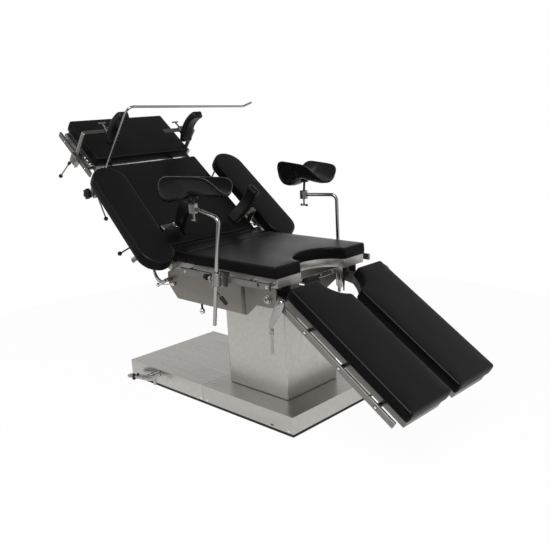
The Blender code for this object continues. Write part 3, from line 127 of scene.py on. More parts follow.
class TableColours(bpy.types.PropertyGroup):
    """Colours of the finishes that a user would change."""

    vinyl: bpy.props.FloatVectorProperty(
        name="Upholstery", description="Colour of the cushions' covers", subtype="COLOR",
        default=(0.0060, 0.0060, 0.0062), min=0.0, max=1.0)
    steel: bpy.props.FloatVectorProperty(
        name="Stainless steel", description="Colour of the brushed sheet and rails",
        subtype="COLOR", default=(0.385, 0.378, 0.355), min=0.0, max=1.0)
    plate: bpy.props.FloatVectorProperty(
        name="Side plates", description="Colour of the side plates under the seat",
        subtype="COLOR", default=(0.215, 0.198, 0.178), min=0.0, max=1.0)
    plastic: bpy.props.FloatVectorProperty(
        name="Plastic", description="Colour of the knobs and handles", subtype="COLOR",
        default=(0.012, 0.012, 0.012), min=0.0, max=1.0)


def sizes():
    """The sizes that the panel shows."""
    return bpy.context.scene.table_sizes


def colours():
    """The colours that the panel shows."""
    return bpy.context.scene.table_colours


# Node groups

def new_group(name, inputs, outputs):
    """A shader node group with named sockets: (name, kind, default) each."""
    group = bpy.data.node_groups.new(name, "ShaderNodeTree")
    for label, kind, default in inputs:
        socket = group.interface.new_socket(label, in_out="INPUT", socket_type=kind)
        socket.default_value = default
    for label, kind in outputs:
        group.interface.new_socket(label, in_out="OUTPUT", socket_type=kind)
    start = group.nodes.new("NodeGroupInput")
    end = group.nodes.new("NodeGroupOutput")
    return group, start, end


def node(tree, kind, inputs=(), **settings):
    """A node with its settings and its sockets' values, or the sockets linked to them."""
    made = tree.nodes.new("ShaderNode" + kind)
    for key, value in settings.items():
        setattr(made, key, value)
    for key, value in dict(inputs).items():
        if isinstance(value, bpy.types.NodeSocket):
            tree.links.new(value, made.inputs[key])
        else:
            made.inputs[key].default_value = value
    return made


def ramp(tree, factor, low, high, low_value=0.0, high_value=1.0):
    """Maps a span of a value onto another span."""
    made = node(tree, "MapRange", {0: factor, 1: low, 2: high, 3: low_value, 4: high_value})
    return made.outputs[0]


def grain_group():
    """Fine lines that polishing leaves in sheet steel, and the cloudiness over them."""
    group, start, end = new_group(
        "brushed_grain",
        [("Turn", "NodeSocketVector", (0, 0, 0)), ("Stretch", "NodeSocketVector", (3, 260, 260)),
         ("Cloud Size", "NodeSocketFloat", 3.0)],
        [("Lines", "NodeSocketFloat"), ("Clouds", "NodeSocketFloat")])
    place = node(group, "TexCoord").outputs["Object"]
    turned_place = node(group, "VectorRotate", {"Vector": place, "Rotation": start.outputs[0]},
                        rotation_type="EULER_XYZ").outputs[0]
    fine = node(group, "VectorMath", {0: turned_place, 1: start.outputs[1]}, operation="MULTIPLY")
    lines = node(group, "TexNoise", {"Vector": fine.outputs[0], "Scale": 1.0, "Detail": 4.0,
                                     "Roughness": 0.6})
    clouds = node(group, "TexNoise", {"Vector": turned_place, "Scale": start.outputs[2],
                                      "Detail": 3.0, "Roughness": 0.55})
    group.links.new(lines.outputs[0], end.inputs[0])
    group.links.new(clouds.outputs[0], end.inputs[1])
    return group


def cover_group():
    """The pebbled skin of upholstery, with soft wrinkles and rubbed places."""
    group, start, end = new_group(
        "cover_skin",
        [("Pebble Size", "NodeSocketFloat", 900.0), ("Wrinkle Size", "NodeSocketFloat", 9.0)],
        [("Pebbles", "NodeSocketFloat"), ("Wrinkles", "NodeSocketFloat"),
         ("Rub", "NodeSocketFloat")])
    place = node(group, "TexCoord").outputs["Object"]
    pebbles = node(group, "TexVoronoi", {"Vector": place, "Scale": start.outputs[0]},
                   feature="SMOOTH_F1")
    wrinkles = node(group, "TexNoise", {"Vector": place, "Scale": start.outputs[1],
                                        "Detail": 3.0, "Distortion": 0.6})
    rub = node(group, "TexNoise", {"Vector": place, "Scale": 5.0, "Detail": 5.0,
                                   "Roughness": 0.62})
    for i, made in enumerate((pebbles, wrinkles, rub)):
        group.links.new(made.outputs[0], end.inputs[i])
    return group


def wear_group():
    """A mask of the edges, where handling has polished a surface."""
    group, start, end = new_group(
        "edge_wear",
        [("Sharpness", "NodeSocketFloat", 0.54), ("Breakup", "NodeSocketFloat", 60.0)],
        [("Worn", "NodeSocketFloat")])
    place = node(group, "TexCoord").outputs["Object"]
    point = node(group, "NewGeometry").outputs["Pointiness"]
    patches = node(group, "TexNoise", {"Vector": place, "Scale": start.outputs[1], "Detail": 3.0})
    high = node(group, "Math", {0: start.outputs[0], 1: 0.06}, operation="ADD")
    edge = node(group, "MapRange", {0: point, 1: start.outputs[0], 2: high.outputs[0]})
    worn = node(group, "Math", {0: edge.outputs[0], 1: patches.outputs[0]}, operation="MULTIPLY")
    group.links.new(worn.outputs[0], end.inputs[0])
    return group


GROUPS = {}


def use(tree, name, **values):
    """Places a shared group in a material with that material's own values."""
    made = tree.nodes.new("ShaderNodeGroup")
    made.node_tree = GROUPS[name]
    for key, value in values.items():
        made.inputs[key.replace("_", " ")].default_value = value
    return made


# Materials

MATERIALS = {}


def start_material(name, **values):
    """A material with a Principled shader whose constant sockets are set."""
    made = bpy.data.materials.new(name)
    made.use_nodes = True
    shader = made.node_tree.nodes["Principled BSDF"]
    for key, value in values.items():
        shader.inputs[key.replace("_", " ")].default_value = value
    MATERIALS[name] = made
    return made.node_tree, shader


def shade(tree, base, factor, spread):
    """A colour that a value between 0 and 1 darkens and lightens."""
    low = [c * (1 - spread) for c in base]
    high = [c * (1 + spread) for c in base]
    mix = node(tree, "Mix", data_type="RGBA")
    tree.links.new(factor, mix.inputs[0])
    mix.inputs[6].default_value = (*low, 1)
    mix.inputs[7].default_value = (*high, 1)
    return mix.outputs[2]


def steel(name, base, rough, turn=0.0, stretch=(3, 260, 260), bump=0.06, spread=0.07,
          cloud=3.0):
    """Brushed metal with its grain along one direction."""
    tree, shader = start_material(name, Metallic=1.0)
    grain = use(tree, "brushed_grain", Turn=(0, turn, 0), Stretch=stretch, Cloud_Size=cloud)
    wear = use(tree, "edge_wear")
    tone = shade(tree, base, grain.outputs[1], spread)
    light = node(tree, "Mix", {0: wear.outputs[0], 6: tone,
                               7: (*[min(1.0, c * 1.35) for c in base], 1)}, data_type="RGBA")
    tree.links.new(light.outputs[2], shader.inputs["Base Color"])
    level = ramp(tree, grain.outputs[0], 0.3, 0.7, rough - 0.06, rough + 0.06)
    clouds = ramp(tree, grain.outputs[1], 0.3, 0.7, -0.04, 0.04)
    total = node(tree, "Math", {0: level, 1: clouds}, operation="ADD")
    tree.links.new(total.outputs[0], shader.inputs["Roughness"])
    raised = node(tree, "Bump", {"Strength": bump, "Distance": 0.0004,
                                 "Height": grain.outputs[0]})
    tree.links.new(raised.outputs[0], shader.inputs["Normal"])


def cover(name, base, rough, pebble=900.0, wrinkle=9.0, soft=0.25, specular=0.5):
    """Coated upholstery cloth."""
    tree, shader = start_material(name, Specular_IOR_Level=specular)
    skin = use(tree, "cover_skin", Pebble_Size=pebble, Wrinkle_Size=wrinkle)
    tone = shade(tree, base, skin.outputs[2], 0.25)
    tree.links.new(tone, shader.inputs["Base Color"])
    level = ramp(tree, skin.outputs[2], 0.3, 0.7, rough - 0.04, rough + 0.05)
    tree.links.new(level, shader.inputs["Roughness"])
    soft_bump = node(tree, "Bump", {"Strength": soft, "Distance": 0.002,
                                    "Height": skin.outputs[1]})
    fine_bump = node(tree, "Bump", {"Strength": 0.22, "Distance": 0.0002,
                                    "Height": skin.outputs[0], "Normal": soft_bump.outputs[0]})
    tree.links.new(fine_bump.outputs[0], shader.inputs["Normal"])


def plastic(name, base, rough):
    """Moulded plastic with a faint texture and rubbed edges."""
    tree, shader = start_material(name, Specular_IOR_Level=0.14)
    skin = use(tree, "cover_skin", Pebble_Size=1500.0, Wrinkle_Size=30.0)
    wear = use(tree, "edge_wear", Breakup=120.0)
    tone = shade(tree, base, skin.outputs[1], 0.2)
    light = node(tree, "Mix", {0: wear.outputs[0], 6: tone, 7: (0.03, 0.03, 0.03, 1)},
                 data_type="RGBA")
    tree.links.new(light.outputs[2], shader.inputs["Base Color"])
    level = ramp(tree, skin.outputs[2], 0.3, 0.7, rough - 0.05, rough + 0.08)
    tree.links.new(level, shader.inputs["Roughness"])
    raised = node(tree, "Bump", {"Strength": 0.12, "Distance": 0.0003, "Height": skin.outputs[0]})
    tree.links.new(raised.outputs[0], shader.inputs["Normal"])


def make_materials():
    """The finishes of every piece, from three shared node groups."""
    GROUPS.update(brushed_grain=grain_group(), cover_skin=cover_group(), edge_wear=wear_group())
    tint = colours()
    sheet = tuple(tint.steel)
    dim = [c * 0.55 for c in sheet]
    steel("sheet_steel", sheet, 0.30, stretch=(2.5, 240, 240), spread=0.10)
    steel("column_steel", sheet, 0.32, stretch=(240, 240, 2.5), spread=0.10)
    steel("rail_steel", dim, 0.38, stretch=(5, 420, 420))
    steel("back_steel", dim, 0.38, turn=-BACK_ANGLE, stretch=(5, 420, 420))
    steel("leg_steel", dim, 0.54, turn=-LEG_ANGLE, stretch=(5, 420, 420))
    # A darker copy of the plate's steel: a painted dark reflection on the side plates.
    steel("dark_reflection_steel", [c * 0.62 for c in tint.plate], 0.38, stretch=(3, 200, 200), spread=0.05)
    steel("plate_steel", tuple(tint.plate), 0.40, stretch=(3, 200, 200), spread=0.05)
    # Steel made brighter than the rest as a painted highlight, for the head tray's side members
    # and end strip.
    steel("painted_highlight_steel", (0.80, 0.80, 0.79), 0.28, stretch=(400, 5, 400), spread=0.04)
    steel("front_steel", sheet, 0.42, stretch=(3, 300, 300), spread=0.06)
    steel("band_steel", [c * 1.25 for c in sheet], 0.36, stretch=(60, 60, 4), spread=0.08)
    steel("machined_steel", (0.12, 0.12, 0.12), 0.40, stretch=(300, 300, 300))
    steel("clamp_steel", (0.26, 0.254, 0.24), 0.30, stretch=(150, 150, 150), cloud=25.0,
          spread=0.15)
    steel("polished_steel", (0.66, 0.66, 0.65), 0.10, stretch=(90, 90, 12), bump=0.015,
          spread=0.04)
    cover("flat_cover", tuple(tint.vinyl), 0.36, specular=0.19)
    # Upright sides of the cushions: this copy of the cover is darker as painted shade, and also
    # less glossy.
    cover("shaded_side_cover", [c * 0.6 for c in tint.vinyl], 0.42, specular=0.06)
    cover("trough_cover", tuple(tint.vinyl), 0.25, pebble=500.0, wrinkle=24.0, soft=0.35,
          specular=0.11)
    # Piping: a bead of cover whose lighter colour is partly a painted highlight along the troughs'
    # rims.
    cover("piping_highlight_cover", (0.020, 0.020, 0.020), 0.22, pebble=700.0, wrinkle=40.0, specular=0.8)
    plastic("black_plastic", tuple(tint.plastic), 0.30)
    # Black paint for the floor plate, and painted shade in the rails' screw recesses and slots.
    plastic("black_paint", (0.008, 0.008, 0.008), 0.5)
    steel("bar_steel", (0.34, 0.335, 0.325), 0.20, stretch=(90, 90, 12), bump=0.02, spread=0.06)
    steel("handle_steel", (0.34, 0.332, 0.315), 0.24, stretch=(60, 60, 60), cloud=14.0,
          spread=0.22)


# Forms

NO_RADIUS = 1e-5
NEARLY_STRAIGHT = pi / 2 - 0.02
ARC_STEP = radians(11)
CUSHION_GRID = 0.014


def turns(count, shift=0.5):
    """Angles spread evenly round a circle, in radians."""
    return [2 * pi * (k + shift) / count for k in range(count)]


def corner_arc(before, corner, after, radius, steps=None):
    """The arc that rounds a corner, or the corner itself where it stays sharp."""
    if radius < NO_RADIUS:
        return [corner]
    u = (before - corner).normalized()
    v = (after - corner).normalized()
    half = u.angle(v) / 2
    if half > NEARLY_STRAIGHT:
        return [corner]
    centre = corner + (u + v).normalized() * (radius / sin(half))
    first = corner + u * (radius / tan(half)) - centre
    last = corner + v * (radius / tan(half)) - centre
    span = first.angle(last)
    steps = steps or max(2, round(span / ARC_STEP))
    return [centre + (first * sin((1 - k / steps) * span) + last * sin(k / steps * span))
            / sin(span) for k in range(steps + 1)]


def outline_of(corners, step=0.012):
    """A closed outline from (x, y, radius) corners, rounded and cut into short runs."""
    spots = [Vector(corner[:2]) for corner in corners]
    places = []
    for i, corner in enumerate(corners):
        places += corner_arc(spots[i - 1], spots[i], spots[(i + 1) % len(spots)], corner[2])
    dense = []
    for a, b in zip(places, places[1:] + places[:1]):
        runs = max(1, round((b - a).length / step))
        dense += [a.lerp(b, k / runs) for k in range(runs)]
    area = sum(a.x * b.y - b.x * a.y for a, b in zip(dense, dense[1:] + dense[:1]))
    return dense if area > 0 else dense[::-1]


def inset_line(line, distance):
    """The outline moved inwards, by its own corners' normals."""
    moved = []
    for i, here in enumerate(line):
        a = (here - line[i - 1]).normalized()
        b = (line[(i + 1) % len(line)] - here).normalized()
        left_a, left_b = Vector((-a.y, a.x)), Vector((-b.y, b.x))
        normal = (left_a + left_b).normalized()
        moved.append(here + normal * (distance / max(0.4, normal.dot(left_a))))
    return moved


def distance_to(points, line):
    """Each point's distance to a closed outline."""
    p = np.array([tuple(q) for q in points])[:, None, :]
    a = np.array([tuple(q) for q in line])[None]
    b = np.roll(a, -1, axis=1)
    run = b - a
    t = np.clip(((p - a) * run).sum(-1) / (run * run).sum(-1), 0, 1)
    return np.linalg.norm(p - a - run * t[..., None], axis=-1).min(1)


def walls(form, rings):
    """Faces between each ring of vertices and the next."""
    for low, high in zip(rings, rings[1:]):
        for i in range(len(low)):
            j = (i + 1) % len(low)
            corners = list(dict.fromkeys((low[i], low[j], high[j], high[i])))
            if len(corners) > 2:
                form.faces.new(corners)


def fill(form, ring, spacing, height):
    """Fills a ring of vertices with triangles, over a grid of points inside it."""
    flat = [Vector((v.co.x, v.co.y)) for v in ring]
    extra = []
    if spacing:
        low = [min(p[i] for p in flat) for i in (0, 1)]
        high = [max(p[i] for p in flat) for i in (0, 1)]
        rows = np.arange(low[1], high[1], spacing * 0.866)
        grid = [(x + (k % 2) * spacing / 2, y) for k, y in enumerate(rows)
                for x in np.arange(low[0], high[0], spacing)]
        gaps = distance_to(grid, flat)
        extra = [Vector(g) for g, gap in zip(grid, gaps) if gap > spacing * 0.45]
    loop = [(i, (i + 1) % len(flat)) for i in range(len(flat))]
    result = delaunay_2d_cdt(flat + extra, loop, [], 1, 1e-7)
    verts = []
    for place, origins in zip(result[0], result[3]):
        known = [o for o in origins if o < len(flat)]
        verts.append(ring[known[0]] if known
                     else form.verts.new((place.x, place.y, height(place))))
    for face in result[2]:
        corners = list(dict.fromkeys(verts[i] for i in face))
        if len(corners) > 2 and not form.faces.get(corners):
            form.faces.new(corners)


def cushion_form(line, low, high, edge=None, seed=0.0):
    """A firm cushion: a flat underside, slightly bulged sides, a rounded edge and a crown."""
    size = sizes()
    edge, crown, bulge = edge or size.edge, size.crown, size.bulge
    slack, fold, fall, ripple = 0.0004, 0.0025, 0.030, 0.00045
    rim = high - crown * 0.6
    profile = [(0.004, low), (0.0015, low + 0.0006), (slack, low + fold)]
    side = rim - edge - (low + fold)
    profile += [(slack - bulge * sin(pi * k / 4), low + fold + side * k / 4) for k in (1, 2, 3)]
    profile += [(edge * (1 - cos(t)) + slack, rim - edge + edge * sin(t))
                for t in [pi / 2 * k / 6 for k in range(7)]]
    form = bmesh.new()
    rings = [[form.verts.new((p.x, p.y, z)) for p in inset_line(line, max(inset, -bulge))]
             for inset, z in profile]
    walls(form, rings)

    def height(place):
        inside = distance_to([place], line)[0]
        swell = crown * (1 - np.exp(-(inside - edge) / fall))
        wave = noise.noise(Vector((place.x * 7 + seed, place.y * 7, seed))) * ripple
        return rim + swell + wave * min(1.0, (inside - edge) / fall)

    fill(form, rings[-1], CUSHION_GRID, height)
    fill(form, rings[0], 0, lambda place: low)
    return form


def rounded_path(points, radius, steps=10):
    """A path whose corners are true arcs."""
    points = [Vector(p) for p in points]
    path = [points[0]]
    for before, corner, after in zip(points, points[1:], points[2:]):
        path += corner_arc(before, corner, after, radius, steps)
    path.append(points[-1])
    return path


def rounded_end(tip, before, radius):
    """The last rings of a bar, from its tip inwards: a place and a radius each."""
    way = (tip - before).normalized()
    return [(tip - way * radius * 0.35 * (1 - f), radius * (1 - f * f * 0.45))
            for f in (1.0, 0.6, 0.0)]


def swept(path, radius, sides=20, flat=1.0):
    """A bar along a path, with rounded ends. flat squeezes its section across the table."""
    path = [Vector(p) for p in path]
    radii = list(radius) if isinstance(radius, (list, tuple)) else [radius] * len(path)
    head = rounded_end(path[0], path[1], radii[0])
    tail = rounded_end(path[-1], path[-2], radii[-1])
    path, radii = zip(*head, *zip(path[1:-1], radii[1:-1]), *tail[::-1])
    form = bmesh.new()
    rings = []
    side = None
    for i, point in enumerate(path):
        run = (path[min(i + 1, len(path) - 1)] - path[max(i - 1, 0)]).normalized()
        if side is None:
            side = Vector((0, 1, 0)) if abs(run.y) < 0.9 else Vector((1, 0, 0))
        side = (side - run * side.dot(run)).normalized()
        up = run.cross(side)
        rings.append([form.verts.new(point + side * radii[i] * cos(t) * flat
                                     + up * radii[i] * sin(t)) for t in turns(sides)])
    walls(form, rings)
    form.faces.new(rings[0][::-1])
    form.faces.new(rings[-1])
    return form


def turned(profile, at, axis, sides=28, hollow=False):
    """A profile of (radius, height) points turned round an axis through a place.

    A hollow one is a closed profile that stands clear of the axis, and has no end faces.
    """
    form = bmesh.new()
    rings = []
    for radius, height in profile:
        if radius < 1e-6:
            rings.append([form.verts.new((0, 0, height))] * sides)
        else:
            rings.append([form.verts.new((radius * cos(t), radius * sin(t), height))
                          for t in turns(sides)])
    walls(form, rings + rings[:1] if hollow else rings)
    for ring in (rings[0], rings[-1]):
        if len(set(ring)) > 2 and not hollow:
            form.faces.new(ring)
    turn = Vector((0, 0, 1)).rotation_difference(Vector(axis)).to_matrix().to_4x4()
    form.transform(Matrix.Translation(at) @ turn)
    return form


def block(x, y, z, edge):
    """A box from three spans, with its edges rounded."""
    form = bmesh.new()
    spans = [sorted(s) for s in (x, y, z)]
    size = [s[1] - s[0] for s in spans]
    middle = [(s[0] + s[1]) / 2 for s in spans]
    bmesh.ops.create_cube(form, size=1.0,
                          matrix=Matrix.Translation(middle) @ Matrix.Diagonal((*size, 1.0)))
    bmesh.ops.bevel(form, geom=form.edges[:], offset=edge, segments=2, profile=0.5,
                    affect="EDGES")
    return form


def prism(outline, span, axis, edge=0.0):
    """A flat outline drawn out along an axis: (x, y) along z, (x, z) along y, (y, z) along x."""
    form = bmesh.new()
    place = {
        "z": lambda p, h: (p[0], p[1], h),
        "y": lambda p, h: (p[0], h, p[1]),
        "x": lambda p, h: (h, p[0], p[1]),
    }[axis]
    rings = [[form.verts.new(place(p, h)) for p in outline] for h in span]
    caps = [form.faces.new(rings[0]), form.faces.new(rings[1][::-1])]
    rim = [e for face in caps for e in face.edges]
    walls(form, rings)
    bmesh.ops.recalc_face_normals(form, faces=form.faces)
    if edge:
        bmesh.ops.bevel(form, geom=rim, offset=edge, segments=2, profile=0.5, affect="EDGES")
    return form


def arc(centre, radius, start, end, steps):
    """Points on an arc or, with two radii, on an ellipse. Angles in degrees."""
    rx, ry = radius if isinstance(radius, tuple) else (radius, radius)
    angles = [radians(start + (end - start) * i / steps) for i in range(steps + 1)]
    return [(centre[0] + rx * cos(t), centre[1] + ry * sin(t)) for t in angles]


def link_outline(a, ra, b, rb, steps=12):
    """The outline of a strap round two eyes."""
    lean = atan2(b[1] - a[1], b[0] - a[0])
    slope = (ra - rb) / hypot(b[0] - a[0], b[1] - a[1])
    turn = pi / 2 - slope
    first = [(lean + turn + (2 * pi - 2 * turn) * i / steps) for i in range(steps + 1)]
    second = [(lean - turn + 2 * turn * i / steps) for i in range(steps + 1)]
    return ([(a[0] + ra * cos(t), a[1] + ra * sin(t)) for t in first]
            + [(b[0] + rb * cos(t), b[1] + rb * sin(t)) for t in second])


def ball(at, radius):
    """A round knob."""
    form = bmesh.new()
    bmesh.ops.create_uvsphere(form, u_segments=24, v_segments=14, radius=radius,
                              matrix=Matrix.Translation(at))
    return form


def bar(start, end, radius, sides=20):
    """A round bar with rounded ends."""
    return swept([start, end], radius, sides)


def disc(at, axis, radius, height, edge=0.0008):
    """A flat round boss with an eased edge, standing on a face."""
    return turned([(radius, 0.0), (radius, height - edge), (radius - edge, height)], at, axis, 32)


def strip(corners, span, edge=0.0006):
    """A folded flat bar across the table: (distance from the middle, height, bend radius) each."""
    return prism(outline_of(corners, 1.0), span, "x", edge)


def jaw(x, side, middle, out, low, high):
    """A clamp's body that hooks over a rail: its reach outwards, below and above the middle."""
    outer, inner = RAIL_CENTRE + out, RAIL_CENTRE - 0.011
    back, front = RAIL_CENTRE - 0.0053, RAIL_CENTRE + 0.0053
    hook, roof, foot = middle + 0.00625, middle + 0.0128, middle - 0.0128
    corners = [(outer, middle - low, 0.003), (outer, middle + high, 0.004),
               (inner, middle + high, 0.003), (inner, hook, 0.001), (back, hook, 0.001),
               (back, roof, 0.0), (front, roof, 0.0), (front, foot, 0.0),
               (RAIL_CENTRE, foot, 0.001), (RAIL_CENTRE, middle - low, 0.003)]
    return strip([(side * y, z, r) for y, z, r in corners], x, 0.0012)


def smooth_path(points, radii, steps=6):
    """A curve through places, and its thickness there, both eased between them."""
    rows = [(*p, r) for p, r in zip(points, radii)]
    rows = [rows[0]] + rows + [rows[-1]]
    path = []
    for a, b, c, d in zip(rows, rows[1:], rows[2:], rows[3:]):
        for t in [i / steps for i in range(steps)]:
            path.append([((2 * q) + (r - p) * t + (2 * p - 5 * q + 4 * r - s) * t * t
                          + (3 * q - p - 3 * r + s) * t ** 3) / 2
                         for p, q, r, s in zip(a, b, c, d)])
    path.append(rows[-1])
    return [p[:3] for p in path], [p[3] for p in path]


def star_grip(x, z, span):
    """A six-lobed hand knob."""
    middle, lobe = 0.0215, 0.0025
    edge = [(t, middle + lobe * cos(6 * t)) for t in turns(96, 0.0)]
    return prism([(x + r * cos(t), z + r * sin(t)) for t, r in edge], span, "y", 0.0018)


def piece(name, body, finish, forms, place=LEVEL, replaces=(), sharp=35.0,
          second=None):
    """Makes one object from closed forms, rides it on its body and names what it replaces.

    Its material is its finish, with a second one when the call gives it.
    """
    whole = bmesh.new()
    for form in forms if isinstance(forms, (list, tuple)) else [forms]:
        bmesh.ops.recalc_face_normals(form, faces=form.faces)
        part = bpy.data.meshes.new("form")
        form.to_mesh(part)
        form.free()
        whole.from_mesh(part)
        bpy.data.meshes.remove(part)
    whole.transform(place)
    mesh = bpy.data.meshes.new(name)
    whole.to_mesh(mesh)
    whole.free()
    mesh.materials.append(MATERIALS[finish])
    if second:
        mesh.materials.append(MATERIALS[second])
    mesh.shade_smooth()
    if sharp:
        mesh.set_sharp_from_angle(angle=radians(sharp))
    obj = bpy.data.objects.new(name, mesh)
    bpy.context.scene.collection.objects.link(obj)
    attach(obj, body)
    if replaces:
        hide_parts(*replaces)
    return obj


def cushion(name, body, line, low, high, place=LEVEL, **shape):
    """A cushion in place of the solid of the same name."""
    form = cushion_form(outline_of(line), low, high, **shape)
    form.normal_update()
    for face in form.faces:
        # Upright faces take the side cover, whose darker colour is painted shade on the cushions'
        # sides.
        face.material_index = int(abs(face.normal.z) < 0.45)
    made = piece(name + "_cushion", body, "flat_cover", form, place, [name + "_pad"], sharp=60,
                 second="shaded_side_cover")


# Operators

class TABLE_OT_flat_cushions(bpy.types.Operator):
    """The head, back, kidney, seat and leg cushions"""

    bl_idname = "table.flat_cushions"
    bl_label = "Flat cushions"

    corner = 0.010

    def execute(self, context):
        size = sizes()
        for name, start, end, thick in (("head", -0.848, -0.579, size.head_thick),
                                        ("back", -0.530, -0.018, size.pad_thick)):
            cushion(name, name, self.plain(start, end), PAD_TOP - thick, PAD_TOP, BACK,
                    seed=start * 9)
        low = SEAT_TOP - size.pad_thick
        cushion("kidney", "kidney", self.plain(-0.160, -0.028), low, SEAT_TOP, seed=3.0)
        cushion("seat", "long_tilt", self.seat(), low, SEAT_TOP, seed=5.0)
        high = 0.139
        for name, side in SIDES.items():
            line = [(x, side * y, k) for x, y, k in self.leg()]
            cushion(name + "_leg", name + "_leg", line, high - size.pad_thick, high, LEG,
                    seed=7.0 + side)
        return {"FINISHED"}

    def plain(self, start, end):
        """The plan of a cushion that crosses the whole table."""
        return [(x, y, self.corner) for x, y in ((start, -PAD_HALF), (end, -PAD_HALF),
                                                 (end, PAD_HALF), (start, PAD_HALF))]

    def seat(self):
        """The seat's plan, with the round cut-out in its foot end."""
        start, end, reach, wide = -0.026, 0.473, 0.107, 0.125
        r = self.corner
        notch = [(x, y, 0.0) for x, y in arc((end, 0.0), (reach, wide), 260, 100, 30)
                 if x < end - 0.006]
        return [(start, PAD_HALF, r), (start, -PAD_HALF, r), (end, -PAD_HALF, r),
                (end, -wide - 0.002, r), *notch, (end, wide + 0.002, r), (end, PAD_HALF, r)]

    def leg(self):
        """A leg's plan on the far side, with its quarter of the cut-out."""
        start, end, inner, outer = 0.081, 0.684, 0.026, 0.266
        reach, wide = 0.103, 0.115
        r = self.corner
        notch = [(x, y, 0.0) for x, y in arc((start, 0.0), (reach, wide), 88, 14, 16)
                 if y > inner + 0.006 and x > start + 0.004]
        last = start + reach * (1 - (inner / wide) ** 2) ** 0.5
        return [(start, outer, r), (end, outer, r), (end, inner, r),
                (last + 0.004, inner, 0.012), *notch[::-1], (start, wide + 0.001, r)]


class TABLE_OT_arm_boards(bpy.types.Operator):
    """The two long round-ended arm cushions"""

    bl_idname = "table.arm_boards"
    bl_label = "Arm boards"

    def execute(self, context):
        half, length, high, thick = 0.0785, 0.4905, 0.062, 0.050
        ends = arc((0, 0), half, -90, 90, 26) + arc((half - length, 0), half, 90, 270, 26)
        line = [(x, y, 0.0) for x, y in ends]
        for name, side in SIDES.items():
            hub = Matrix.Translation((ARM_PIVOT, side * ARM[name]["centre"], 0))
            turn = Matrix.Rotation(radians(side * ARM[name]["turn"]), 4, "Z")
            cushion(name + "_arm", name + "_arm", line, high - thick, high, BACK @ hub @ turn,
                    edge=0.009, seed=11.0 + side)
        return {"FINISHED"}


# Turns of a bent cushion, so that its width lies along y or along x
ALONG_Y = Matrix(((1, 0, 0, 0), (0, 0, 1, 0), (0, 1, 0, 0), (0, 0, 0, 1)))
ALONG_X = Matrix(((0, 0, 1, 0), (1, 0, 0, 0), (0, 1, 0, 0), (0, 0, 0, 1)))


class TABLE_OT_body_supports(bpy.types.Operator):
    """The curved cushions of the shoulder and side supports"""

    bl_idname = "table.body_supports"
    bl_label = "Body supports"

    def execute(self, context):
        for name, side in SIDES.items():
            self.shoulder(name, side)
            self.side(name, side)
        return {"FINISHED"}

    def shoulder(self, name, side):
        """Bent about an axis across the table, and standing on its bar's hub."""
        outer = 0.170
        centre = (SHOULDER_HUB + GAP - SHOULDER[name]["place"] + outer, SHOULDER_BAR + 0.052)
        form = bent_slab(211, -66.5, lambda turn, deep: (
            centre[0] + (outer - deep) * cos(turn), centre[1] + (outer - deep) * sin(turn)),
            side * SHOULDER[name]["pad_y"], 0.028, 0.032, 0.0085)
        form.transform(ALONG_Y)
        made = piece(name + "_shoulder_cushion", name + "_shoulder", "flat_cover", form, BACK,
                     [name + "_shoulder_pad"], sharp=60)

    def side(self, name, side):
        """Bent about an axis along the back, with the steel yoke that swings on its pin."""
        outer, middle = 0.220, -0.068
        centre = (side * -0.018, 0.160)
        form = bent_slab(-42, 56, lambda turn, deep: (
            centre[0] + side * (outer - deep) * cos(turn),
            centre[1] + (outer - deep) * sin(turn)), middle, 0.029, 0.030, 0.0085)
        form.transform(ALONG_X)
        made = piece(name + "_side_cushion", name + "_side_pad", "flat_cover", form, BACK,
                     [name + "_side_pad"], sharp=60)
        y, z = side * SIDE_PAD_PIN[0], SIDE_PAD_PIN[1]
        line = link_outline((y, z), 0.008, (y - side * 0.016, z), 0.006)
        forms = [turned([(0, 0), (0.0036, 0), (0.004, 0.0006), (0.004, 0.0274), (0.0036, 0.028),
                         (0, 0.028)], (-0.082, y, z), (1, 0, 0), 20)]
        for cheek in (middle - 0.0105, middle + 0.0105):
            forms.append(prism(line, (cheek - 0.0045, cheek + 0.0045), "x", 0.0008))
        piece(name + "_side_yoke", name + "_side_pad", "clamp_steel", forms, BACK)


def bent_slab(first, swing, surface, middle, half, thick, edge, steps=24):
    """A cushion bent along an arc, from an angle and through a swing in degrees.

    surface gives (u, v) for an angle and a depth, and the width lies along the third axis.
    The cushion's ends are thinner and narrower than its middle.
    """
    mid = thick / 2
    section = []
    for cx, cy, start in ((half - edge, edge, -90), (half - edge, thick - edge, 0),
                          (-half + edge, thick - edge, 90), (-half + edge, edge, 180)):
        section += arc((cx, cy), edge, start, start + 90, 5)
    form = bmesh.new()
    rings = []
    for t in [i / steps for i in range(steps + 1)]:
        near_end = min(t, 1 - t) * 0.16
        pull = 0.0 if near_end > edge else edge - (edge ** 2 - (edge - near_end) ** 2) ** 0.5
        hollow = 0.0012 * sin(pi * t)
        ring = []
        for across, deep in section:
            depth = mid + (deep - mid) * (1 - pull / mid) - (hollow if deep > mid else 0)
            u, v = surface(radians(first + swing * t), depth)
            ring.append(form.verts.new((u, v, middle + across * (1 - pull / half))))
        rings.append(ring)
    walls(form, rings)
    form.faces.new(rings[0])
    form.faces.new(rings[-1])
    return form


def arm_end(name, side):
    """Where a crutch's arm ends, in the rod's own frame."""
    turn = radians(CRUTCH[name]["turn"])
    pitch = radians(CRUTCH[name]["pitch"])
    way = Vector((-cos(turn) * cos(pitch), -side * sin(turn) * cos(pitch), sin(pitch)))
    return Vector((0, 0, ARM_HEIGHT)) + way * ARM_LENGTH


def crutch_place(name, side):
    """The frame of a crutch's rod."""
    x = CRUTCH[name]["x"]
    return (Matrix.Translation((x, side * ROD_OUT, ROD_HEIGHT))
            @ Matrix.Rotation(radians(CRUTCH[name]["lean"]), 4, "Y"))


